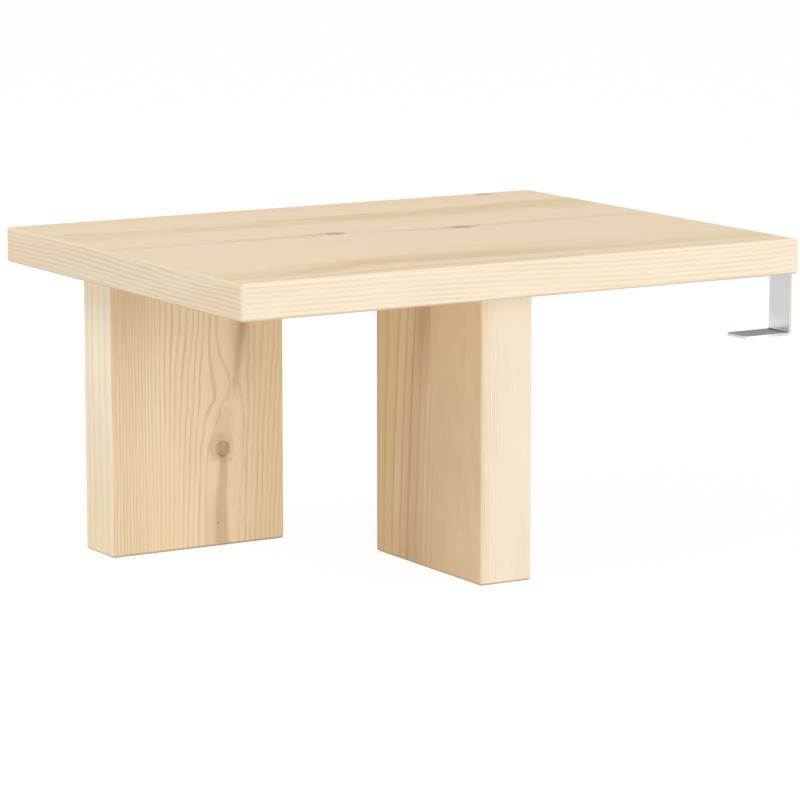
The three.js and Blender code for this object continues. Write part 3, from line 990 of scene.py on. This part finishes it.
STREAK_WOOD = srgb(190, 158, 120)
PIN_KNOT = srgb(170, 134, 98)
BLUSH = srgb(212, 166, 136)
TOP_KNOTS = ((184, 194, 9, 7.5), (281, 180, 9, 8), (403, 341, 9, 6))


def spot(x, y, middle_x, middle_y, half_x, half_y, rough):
    """A soft oval spot whose outline is roughened by noise."""
    across, along = (x - middle_x) / half_x, (y - middle_y) / half_y
    return ((across * across + along * along).root() + rough).rise(1.15, 0.55)


def top_figure(shader, x, y, z, point):
    depth = -z
    wander = shader.noise(point, (130, 50, 50), 3.0) - 0.5
    swell = x.curve(BAND_LINE) * y.rise(130, 70)
    ripple = shader.noise(point, (70, 14, 6)) - 0.5
    off_edge = y.rise(2, 28)
    shifted = y - swell * off_edge + wander * 14 * off_edge
    slope = x.curve(FRONT_SLOPE) * y.rise(7, 1)
    ring = shifted.curve(CLIMB) + depth / TOP_RING + slope + ripple * 0.42 + wander * 0.5
    patches = shader.noise(point, (45, 14, 8)).rise(0.25, 0.7)
    upper = shader.facing()[2].rise(0.2, 0.95)
    band = x.hump(175, 100) * y.rise(110, 60)
    rear_band = x.rise(40, 260) * y.rise(220, 250)
    streaky = shader.noise(point, (55, 3.2, 4), 3.0, 0.6).rise(0.3, 0.7)
    on_face = (0.42 + patches * 0.2 + band * 0.58 + rear_band * 0.36) * y.rise(306, 292)
    on_face = (on_face + y.rise(292, 306) * 0.24) * (0.78 + streaky * 0.44)
    strength = on_face * upper + (0.09 + patches * 0.21) * (1 - upper)
    late = late_wood(ring, 0.2, 0.78) * strength
    close_lines = late_wood((y + swell * 0.4 + wander * 16) / 5.2, 0.3, 0.8) * upper
    near_front = (x.rise(410, 120) * 0.8 + 0.2) * y.rise(62, 42)
    late = late + close_lines * near_front * (0.14 + streaky * 0.3)
    late = late + streaky * upper * 0.10
    rough = (shader.noise(point, (6, 3, 3)) - 0.5) * 0.8
    surface = depth.rise(9, 2)
    wisps = shader.noise(point, (18, 2.2, 3), 3.0, 0.6).rise(0.36, 0.66)
    line = (y - x.curve(STREAK_LINE) + rough * 4).hump(0, STREAK_HALF_WIDTH)
    streak = line * x.curve(STREAK_DEPTH) * surface * (0.12 + wisps * 0.95)
    blush = (y - swell * 0.8 + wander * 10).hump(50, 15) * x.rise(10, 90) * x.rise(340, 230) * upper
    # A pale line along the front rim of the upper face: a painted highlight.
    rim = y.rise(6, 1) * upper
    marks = [
        (streak, STREAK_WOOD), (blush * (0.1 + streaky * 0.2), BLUSH), (rim * 0.8, SANDED_EDGE_AND_HIGHLIGHT),
    ]
    for knot in TOP_KNOTS:
        marks.append((spot(x, y, *knot, rough) * surface * 0.6, PIN_KNOT))
    # The upper face gets a darker, warmer tone: painted shade by the face's direction.
    return late, upper * 0.6, marks


coat(top_slab, pine("pine_top", TOP_CORNER, 0, TOP_BOX, top_figure, TOP_TONES))

# %% [markdown]
# The lippings are strips of the same pine with the grain along the depth of the table. Their rings
# lie level too, so the outer face shows about eight fine lines that wander a little.

# %% Finish of the lippings
LIPPING_RING = 3.2
LIPPING_TONES = {
    "early": srgb(236, 217, 188), "late": srgb(190, 166, 118), "painted_face_light": srgb(251, 223, 184),
    "warm": srgb(234, 206, 174), "end": srgb(247, 230, 203),
}
LIPPING_SLOPE = [(0, -1.0), (60, -0.8), (150, 0), (240, 0.6), (350, 0.4)]


def lipping_figure(shader, x, y, z, point):
    wander = shader.noise(point, (30, 150, 30)) - 0.5
    ripple = shader.noise(point, (10, 60, 5)) - 0.5
    ring = z * (-1 / LIPPING_RING) + y.curve(LIPPING_SLOPE) + wander * 1.6 + ripple * 0.5 + 0.4
    patches = shader.noise(point, (20, 60, 8)).rise(0.25, 0.7)
    upper = shader.facing()[2].rise(0.2, 0.95)
    # The upper face gets a lighter, warmer tone: painted light by the face's direction.
    return late_wood(ring, 0.3, 0.84) * (0.16 + patches * 0.24) * (1 - upper * 0.6), upper * 0.6, []


for strip in (left_lipping, right_lipping):
    name = "pine_" + strip.name
    finish = pine(name, TOP_CORNER, 1, TOP_BOX, lipping_figure, LIPPING_TONES)
    coat(strip, finish)

# %% [markdown]
# The rear leg was sawn close to the heart of a trunk that stood 25 mm behind its front face. That
# gives close lines at the sides and a plain middle, where a branch came out: a knot. The lines to
# the left of the knot swing far out above it, and the wood carries resin above and below it, which
# leaves the brown streaks. So the rings are circles round the heart, and before they are drawn,
# every point is shifted back by as much as the real lines have drifted at its height. To the right
# of the knot the lines quiver, and one yellow line bows out round it.

# %% Finish of the rear leg
REAR_LOW, REAR_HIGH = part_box("rear_leg")
HEART_X = 90.0
HEART_DEPTH = 25.0
REAR_RING = 3.1
OUTER_RADIUS = 60.0
OUTER_RINGS = 0.08
REAR_TONES = {
    "early": srgb(252, 241, 216), "late": srgb(184, 162, 104), "painted_face_light": srgb(251, 226, 188),
    "warm": srgb(234, 202, 162), "end": srgb(212, 182, 140),
}
LEFT_DRIFT = [
    (0, -0.5), (19, 0), (52, 1), (70, 2), (88, 3.5), (106, 5.5), (130, 6.5), (151, 8.5), (170, 10),
    (210, 11),
]
KNOT_SWING = [
    (0, 0), (60, 0), (75, 0.3), (92, 0.8), (104, 1), (113, 1.12), (126, 1), (144, 0.5), (167, 0.08),
    (190, 0), (210, 0),
]
SWING_START = 72.0
SWING_REACH = 0.55
RIGHT_DRIFT = [(0, -0.6), (19, 0), (52, 1.7), (106, 5), (130, 6), (151, 7), (210, 10)]
RIGHT_SHARE = [(0, 0), (103, 0), (110, 0.45), (118, 0.6), (132, 1.05), (142, 1.2)]
BOW_LINE = [
    (0, 104.2), (20, 104.6), (40, 105.6), (60, 107.4), (80, 107.7), (92, 108.3), (104, 107.7),
    (113, 106), (122, 104.6), (130, 104),
]
UPPER_STREAK = [
    (98, 100.6), (112, 101), (120, 101.8), (130, 103.3), (140, 104.4), (150, 105.4), (163, 107),
    (210, 111),
]
LOWER_STREAK = [(0, 90), (30, 89.3), (42, 89.8), (56, 91.2), (70, 91.4)]
LOWER_STREAK_WIDTH = [(0, 8.4), (18, 8.0), (30, 7.0), (42, 6.2), (56, 5.2), (70, 5.0)]
SIDE_RINGS = [(0, 0), (8, 0.7), (18, 1.7), (29, 2.7), (36, 3.7), (42, 4.5)]
KNOT_X, KNOT_Z = 91.0, 72.0
KNOT_CORE = srgb(190, 150, 112)
KNOT_RIM = srgb(158, 118, 82)
KNOT_HALO = srgb(206, 168, 126)
RESIN_STREAK = srgb(208, 170, 134)
PALE_STREAK = srgb(249, 228, 188)
PAINTED_LEFT_SHADE = srgb(226, 196, 160)
FIBRE_SHADE = srgb(198, 172, 126)
BOW_SHADE = srgb(184, 148, 62)
UPPER_RESIN = srgb(198, 164, 122)
DARK_RESIN = srgb(146, 116, 76)
RIGHT_TINT = srgb(252, 218, 164)
PAINTED_SIDE_SHADE = srgb(232, 206, 162)
PAINTED_FOOT_SHADE = srgb(150, 118, 86)


def stripe(x, middle, half_width):
    """1 along a line, falling softly to 0 a half width away on both sides."""
    return ((x - middle).size() / half_width).rise(1.0, 0.35)


def drifted(x, z):
    """Where across the board a point's ring lies at the foot of the leg, in millimetres."""
    swing = (x - SWING_START).at_least(0) * z.curve(KNOT_SWING) * SWING_REACH
    kink = z.hump(110, 7) * x.hump(82, 6) * 0.8 - z.hump(102, 10) * x.hump(93, 5) * 2.5
    left = (z.curve(LEFT_DRIFT) * x.rise(34, 74) + swing + kink) * x.rise(103, 97)
    return x - left - z.curve(RIGHT_DRIFT) * x.curve(RIGHT_SHARE)


def rear_leg_figure(shader, x, y, z, point):
    wander = shader.noise(point, (20, 26, 90), 3.0, 0.6) - 0.5
    across, behind = drifted(x, z) - HEART_X, y - HEART_DEPTH
    radius = (across * across + behind * behind).root()
    broad_face = shader.facing()[1].size().rise(0.3, 0.95)
    side_face = shader.facing()[0].size().rise(0.6, 0.95)
    wander = wander * (0.6 + broad_face * 0.35 + (x.rise(40, 10) + x.rise(100, 118)) * 0.3)
    ring = radius / REAR_RING + (radius - OUTER_RADIUS).at_least(0) * OUTER_RINGS + wander - 0.41
    quiver = shader.noise(point, (8, 10, 15)) - 0.5
    ring = ring + quiver * x.rise(94, 110) * broad_face * 0.5
    years = good_years(shader, ring, z)
    heart = (across - 4).size().rise(10, 14)
    close = x.rise(48, 12)
    strength = 0.30 + years * 0.52 + close * 0.1 - x.rise(100, 118) * 0.09
    late = late_wood(ring, 0.35, 0.85) * strength * heart * 1.06
    swinging = x.rise(64, 74) * x.rise(104, 98) * z.rise(76, 96) * z.rise(172, 150)
    late = late + (late_wood(ring, 0.58, 0.87) * (strength + 0.13) * heart - late) * swinging
    side_late = late_wood(y.curve(SIDE_RINGS) + wander * 1.2, 0.0, 0.66) * 0.19
    late = late + (side_late - late) * side_face
    fine = shader.noise(point, (0.8, 3, 45), 3.0, 0.6).rise(0.35, 0.7) * close
    front = y.rise(26, 6)
    rough = (shader.noise(point, (4, 4, 9), 3.0) - 0.5) * 0.8
    streaky = shader.noise(point, (1.6, 3, 30), 3.0, 0.6).rise(0.25, 0.75)

    def near_knot(right, up, half_x, half_z):
        return spot(x, z, KNOT_X + right, KNOT_Z + up, half_x, half_z, rough)

    from_knot = ((x - KNOT_X) * (x - KNOT_X) + (z - KNOT_Z) * (z - KNOT_Z)).root() + rough * 3
    rim = from_knot.hump(5.2, 1.0) * 0.3 + from_knot.hump(2.4, 0.7) * 0.06
    knot = near_knot(0, -0.3, 5.5, 6.8)
    crescent = near_knot(3.6, 1, 2.2, 4.6)
    pith = near_knot(-1.6, -4, 3.4, 3.2)
    halo = near_knot(-2.0, 0.5, 12, 13) * z.rise(58.5, 64.5)
    smear = near_knot(2.5, -8.4, 6.5, 2.0)
    crown = near_knot(0.5, 16, 9, 17)
    spread = z.rise(116, 195)
    above_line = z.curve(UPPER_STREAK)
    above = x.hump(above_line, 2.8 + spread * 5) * z.rise(100, 136)
    streak_tip = spot(x, z, 101.2, 119.5, 2.6, 5.5, rough)
    bow = stripe(x + rough * 3, z.curve(BOW_LINE), 1.7) * z.rise(129, 116)
    ragged = x + rough * 2
    above_edge = stripe(ragged, above_line, 2.4 + spread * 5) * z.rise(112, 150)
    above_core = stripe(ragged, above_line + 1.5, 4.2) * z.rise(138, 160)
    below = stripe(ragged, z.curve(LOWER_STREAK), z.curve(LOWER_STREAK_WIDTH)) * z.rise(70, 61)
    pale = stripe(x, 100.6, 6.2) * z.rise(66, 84) * z.rise(122, 108)
    pale_left = stripe(x, 82, 4) * z.rise(66, 58) * z.rise(22, 40)
    low_tint = stripe(x, 82.5, 10) * z.rise(48, 12)
    pale_right = stripe(x, 100.5, 4.5) * z.rise(70, 44)
    dot = spot(x, z, 86.8, 17.5, 0.9, 1.3, rough)
    # The left third is darker, more so towards the top: painted shade.
    left_painted_shade = x.rise(42, 4) * (0.7 + z.rise(90, 180) * 0.3) * broad_face
    pale_middle = x.rise(18, 34) * x.rise(74, 58) * z.rise(110, 50) * front
    upper_tint = x.rise(92, 104) * x.rise(128, 110) * z.rise(100, 150)
    pale_upper = spot(x, z, 84.5, 138, 4.5, 26, rough)
    # Painted shade on the left part just under the top.
    shaded = x.rise(74, 44) * z.rise(145, 185) * broad_face
    right_tint = x.rise(102, 122) * broad_face
    # The bottom 2.4 mm of the leg is darker: painted shade where the leg meets the floor.
    foot = z.rise(2.4, 0.6)
    marks = [
        (left_painted_shade * 0.35 + shaded * 0.2, PAINTED_LEFT_SHADE),
        (right_tint * 0.24, RIGHT_TINT),
        # The narrow faces get darker towards the bottom: painted shade.
        (z.rise(170, 20) * side_face * 0.42, PAINTED_SIDE_SHADE),
        (pale_middle * 0.4, PALE_STREAK),
        (fine * broad_face * 0.34, FIBRE_SHADE),
        (upper_tint * front * 0.22, KNOT_HALO),
        (pale_upper * front * 0.35, PALE_STREAK),
        ((pale + pale_left + pale_right) * front * 0.5, PALE_STREAK),
        (above * front * (0.42 + streaky * 0.2), UPPER_RESIN),
        (above_core * front * (0.12 + streaky * 0.2), DARK_RESIN),
        (above_edge * front * streaky * 0.14, KNOT_RIM),
        (streak_tip * front * 0.11, KNOT_RIM),
        (bow * front * (0.10 + z.rise(50, 80) * 0.12), BOW_SHADE),
        (low_tint * front * 0.24, RESIN_STREAK),
        (crown * front * 0.2, KNOT_HALO),
        (below * front * (0.46 + streaky * 0.24), RESIN_STREAK),
        (halo * front * 0.4, KNOT_HALO),
        (smear * front * 0.14, KNOT_RIM),
        (knot * front * 0.6, KNOT_CORE),
        ((rim + crescent * 0.22 + pith * 0.28) * front, KNOT_RIM),
        (dot * front * 0.5, KNOT_RIM),
        (foot * 0.4, PAINTED_FOOT_SHADE),
    ]
    # The broad faces get a darker, warmer tone than the narrow ones: painted shade by the face's
    # direction.
    return late, broad_face * 0.5, marks


rear_pine = pine(
    "pine_rear_leg", tuple(REAR_LOW), 2, (REAR_LOW, REAR_HIGH), rear_leg_figure, REAR_TONES,
)
coat(leg_boards["rear_leg"], rear_pine)

# %% [markdown]
# The front leg is glued from two staves, which its broad left face shows. The rear stave has wide
# dark rings that lean a little. The front stave is nearly plain and faintly mottled, with fine
# lines towards the front. In the upper part the glue line is crisp, down to a faint joint across
# the stave, and below that the staves match so well that it is hard to see.

# %% Finish of the front leg
FRONT_LOW, FRONT_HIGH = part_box("front_leg")
FRONT_CORNER = (FRONT_LOW.x, FRONT_HIGH.y, 0.0)
BROWN_STAVE = srgb(198, 158, 120)
YELLOW_STAVE = srgb(226, 200, 144)
PAINTED_EDGE_SHADE = srgb(200, 178, 154)
FRONT_TINT = srgb(252, 216, 158)
STAVE_WIDTH = 75.0
JOINT_HEIGHT = 135.5
STAVE_RINGS = [
    (-14, -1.2), (-1, -0.2), (11, 0.8), (23, 1.8), (34, 2.8), (44, 3.8), (55, 4.8), (63, 5.8),
    (70, 6.8), (76, 7.8), (92, 9.8),
]
STAVE_DARKNESS = [
    (0, 0.6), (11, 0.75), (23, 0.8), (34, 0.8), (40, 0.85), (44, 1.0), (49, 0.8), (58, 0.6),
    (70, 0.65), (80, 0.6),
]
STAVE_DRIFT = [(0, -0.5), (19, 0), (52, 1.7), (106, 5), (130, 7), (151, 8.7), (210, 14)]
FINE_RING = 1.15
FRONT_TONES = {
    "early": srgb(248, 234, 210), "late": srgb(170, 136, 102), "painted_face_light": srgb(229, 199, 154),
    "warm": srgb(232, 204, 168), "end": srgb(212, 182, 140),
}


def front_leg_figure(shader, x, y, z, point):
    back = -y
    wander = shader.noise(point, (20, 30, 100), 3.0, 0.6) - 0.5
    leaning = back - z.curve(STAVE_DRIFT) * back.rise(-12, 40) + wander * 4
    rear_ring = leaning.curve(STAVE_RINGS) + x / 15
    rear_late = late_wood(rear_ring, 0.38, 0.82) * leaning.curve(STAVE_DARKNESS)
    fine_x, fine_y = x + 60, back - 202
    fine_ring = (fine_x * fine_x + fine_y * fine_y).root() / FINE_RING + wander
    near_corner = back.rise(96, 138) * x.rise(18, 8)
    near_left = x.rise(8, 2)
    fine_years = good_years(shader, fine_ring, z)
    fine_strength = (0.05 + near_corner * 0.2 + near_left * 0.05) * (0.4 + fine_years)
    fine_late = late_wood(fine_ring) * fine_strength
    crisp = back.rise(STAVE_WIDTH + 0.3, STAVE_WIDTH - 0.3)
    soft = back.rise(STAVE_WIDTH + 10, STAVE_WIDTH - 4)
    upper = z.rise(133.5, 136.5)
    rear_stave = soft + (crisp - soft) * upper
    late = fine_late + (rear_late - fine_late) * rear_stave
    glue = stripe(back, STAVE_WIDTH, 0.5) * z.rise(134, 136) * 0.3
    finger = stripe(z, JOINT_HEIGHT, 0.8) * back.rise(69, 71) * back.rise(96, 93) * 0.12
    mottle = shader.noise(point, (12, 12, 38)).rise(0.42, 0.68) * (1 - rear_stave) * near_left
    broad = stripe(leaning, 57, 15) * rear_stave * z.rise(110, 190) * x.rise(30, 5)
    heart = stripe(leaning, 48, 17) * rear_stave * 0.5
    low = rear_stave * z.rise(75, 15)
    yellow = stripe(leaning, 13, 12) * rear_stave
    # A dark line down the left face along its rear edge: painted shade.
    rear_edge = back.rise(5.5, 2.5) * near_left
    # The bottom 2.4 mm of the leg is darker: painted shade where the leg meets the floor.
    foot = z.rise(2.4, 0.6)
    marks = [
        (yellow * 0.34, YELLOW_STAVE), ((broad + heart) * 0.5 + low * 0.16, BROWN_STAVE),
        (back.rise(84, 130) * near_left * 0.24, FRONT_TINT), (mottle * 0.12, BROWN_STAVE),
        (glue + finger, RESIN_STREAK), (rear_edge * 0.8, PAINTED_EDGE_SHADE), (foot * 0.4, PAINTED_FOOT_SHADE),
    ]
    broad_face = shader.facing()[0].size().rise(0.3, 0.95)
    # The broad left face gets a darker, warmer tone, most towards the rear and less on late wood:
    # painted shade.
    painted_face_shade = broad_face * (0.78 - back.rise(84, 142) * 0.22) * (1 - late * 0.25)
    return late, painted_face_shade, marks


front_pine = pine(
    "pine_front_leg", FRONT_CORNER, 2, (FRONT_LOW, FRONT_HIGH), front_leg_figure, FRONT_TONES,
)
coat(leg_boards["front_leg"], front_pine)

# %% [markdown]
# Dowels are pressed from beech, a pale pinkish wood whose rays show as many short brown flecks.
# They are left raw, so they are rougher than the lacquered boards.

# %% Finish of the dowels
def beech():
    material, shader = new_material("pressed_beech")
    x, y, z = shader.place()
    point = shader.join(x, y, z)
    clouds = shader.noise(point, (6, 6, 30))
    flecks = shader.noise(point, (0.4, 0.25, 1.6), 1.0).rise(0.60, 0.70)
    fibres = shader.noise(point, (0.25, 0.25, 12))
    wood = shader.mix(clouds.rise(0.35, 0.7) * 0.6, srgb(224, 192, 150), srgb(204, 164, 122))
    wood = shader.mix(flecks * 0.5, wood, srgb(160, 114, 76))
    set_surface(shader, {
        "Base Color": wood,
        "Roughness": 0.66 + fibres * 0.16,
        "Normal": shader.bump(fibres - flecks * 0.4, 0.05 * MM),
    })
    return material


beech_finish = beech()
for dowel in dowels:
    coat(dowel, beech_finish)

# %% [markdown]
# The metals share one recipe: a grey that varies a little, a roughness broken up by drawing lines
# and by handling, and fine relief. The hook is a satin steel strip with its drawing lines along its
# length, screws and bolts are bright with a thin zinc plating, and the cams are dull cast zinc with
# the orange-peel skin of a die. The hook is worn dull where it was sheared and where a board rests.
# Its colour also carries painted shade on the tab and in the bend, and painted light low on the
# plate, at its outer edge and on the tips.

# %% Finishes of the metals
HANDLING = 14
WORN_ROUGHNESS = 0.42
WORN_METALLIC = 0.88


def metal(name, tones, gloss, lines, skin, relief, metallic, wear_and_painted_light=None):
    """tones are a pale and a dark grey, gloss the lowest and highest roughness, lines the size of
    the drawing lines and skin that of the cast or plated skin, in millimetres. The last argument
    is a function that takes the grey, and gives the mask of the worn places and the grey with
    them in it, together with any painted light and shade."""
    material, shader = new_material(name)
    x, y, z = shader.place()
    point = shader.join(x, y, z)
    drawn = shader.noise(point, lines, 3.0, 0.6)
    cast = shader.noise(point, skin, 2.0)
    handled = shader.noise(point, (HANDLING, HANDLING, HANDLING), 3.0, 0.6)
    worn = drawn * 0.5 + handled * 0.5
    grey = shader.mix(worn.rise(0.3, 0.7), tones[0], tones[1])
    smooth, coarse = gloss
    roughness = worn.rise(0.3, 0.75) * (coarse - smooth) + smooth
    if wear_and_painted_light:
        mask, grey = wear_and_painted_light(shader, x, y, z, grey)
        roughness = roughness + mask * WORN_ROUGHNESS
        metallic = metallic - mask * WORN_METALLIC
    set_surface(shader, {
        "Base Color": grey,
        "Metallic": metallic,
        "Roughness": roughness,
        "Normal": shader.bump(drawn * 0.5 + cast, relief),
    })
    return material


HOOK_LOW, HOOK_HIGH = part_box("hook_bracket_front")
TAB_TOP = (HOOK_LOW.z + STRIP) / MM
PLATE_INNER = (HOOK_HIGH.x - STRIP) / MM
CUT_EDGE = srgb(216, 217, 220)
PAINTED_TIP_HIGHLIGHT = srgb(246, 250, 255)
PAINTED_STEEL_LIGHT = srgb(248, 252, 255)
WORN_AND_SHADED_TAB = srgb(170, 171, 174)
BEND_SHADE = srgb(116, 118, 121)


def hook_wear_and_painted_light(shader, x, y, z, grey):
    """The sheared edges of the strip, and the tab's upper face, which the bed's board rubs, are
    worn dull. The colour also carries painted shade on the tab and in the bend, a painted
    highlight on the tips, and painted light low on the plate and at its outer edge."""
    out_x, out_y, out_z = shader.facing()
    on_tab = z.rise(TAB_TOP + 1.5, TAB_TOP + 0.5)
    tip_edge = out_z.size().rise(0.6, 0.3) * x.rise(PLATE_INNER - 10, PLATE_INNER - 20)
    cut_edge = out_y.size().rise(0.5, 0.9).at_least(tip_edge)
    # The tab's upper face is worn dull, and its grey is darker: painted shade under the top,
    # darkest in the bend.
    upper_face = out_z.rise(0.25, 0.7) * on_tab
    near_bend = x.rise(PLATE_INNER - 4, PLATE_INNER - 1.2)
    tab_grey = shader.mix(near_bend, WORN_AND_SHADED_TAB, BEND_SHADE)
    # The tips of the free ends get a lighter, bluer grey: a painted highlight.
    edge_grey = shader.mix(tip_edge, CUT_EDGE, PAINTED_TIP_HIGHLIGHT)
    # The plate gets a brighter grey low down and at its outer edge: painted light.
    painted_plate_light = z.rise(TAB_TOP + 14, TAB_TOP + 1) * 0.6 + y.size().rise(149, 171) * 0.3
    worn = cut_edge.at_least(upper_face)
    worn_and_painted_grey = shader.mix(upper_face, edge_grey, tab_grey)
    return worn, shader.mix(worn, shader.mix(painted_plate_light, grey, PAINTED_STEEL_LIGHT), worn_and_painted_grey)


FITTINGS = {
    "hook_steel": (hooks.values(), metal(
        "satin_hook_steel", (srgb(226, 230, 237), srgb(223, 227, 234)), (0.29, 0.32),
        (9, 0.18, 9), (2, 2, 2), 0.002 * MM, 1.0, hook_wear_and_painted_light,
    )),
    "plated_steel": (screws + bolts, metal(
        "bright_zinc_plating", (srgb(206, 208, 206), srgb(188, 190, 186)), (0.22, 0.38),
        (0.6, 0.6, 0.1), (1, 1, 1), 0.008 * MM, 1.0,
    )),
    "cast_zinc": (cams, metal(
        "die_cast_zinc", (srgb(186, 188, 191), srgb(160, 162, 166)), (0.38, 0.58),
        (1.2, 1.2, 1.2), (0.7, 0.7, 0.7), 0.03 * MM, 0.9,
    )),
}
for slot, (pieces, finish) in FITTINGS.items():
    for piece in pieces:
        coat(piece, finish)
    print(slot, "is on", len(pieces), "pieces")

# %% [markdown]
# The last cell prints the size of the dressed model, to set beside the size of the solid model
# that the first cell printed.

# %% Sizes
visual_low, visual_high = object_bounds()
visual_size = visual_high - visual_low
print("the dressed model measures", [round(side / MM, 1) for side in visual_size], "mm")
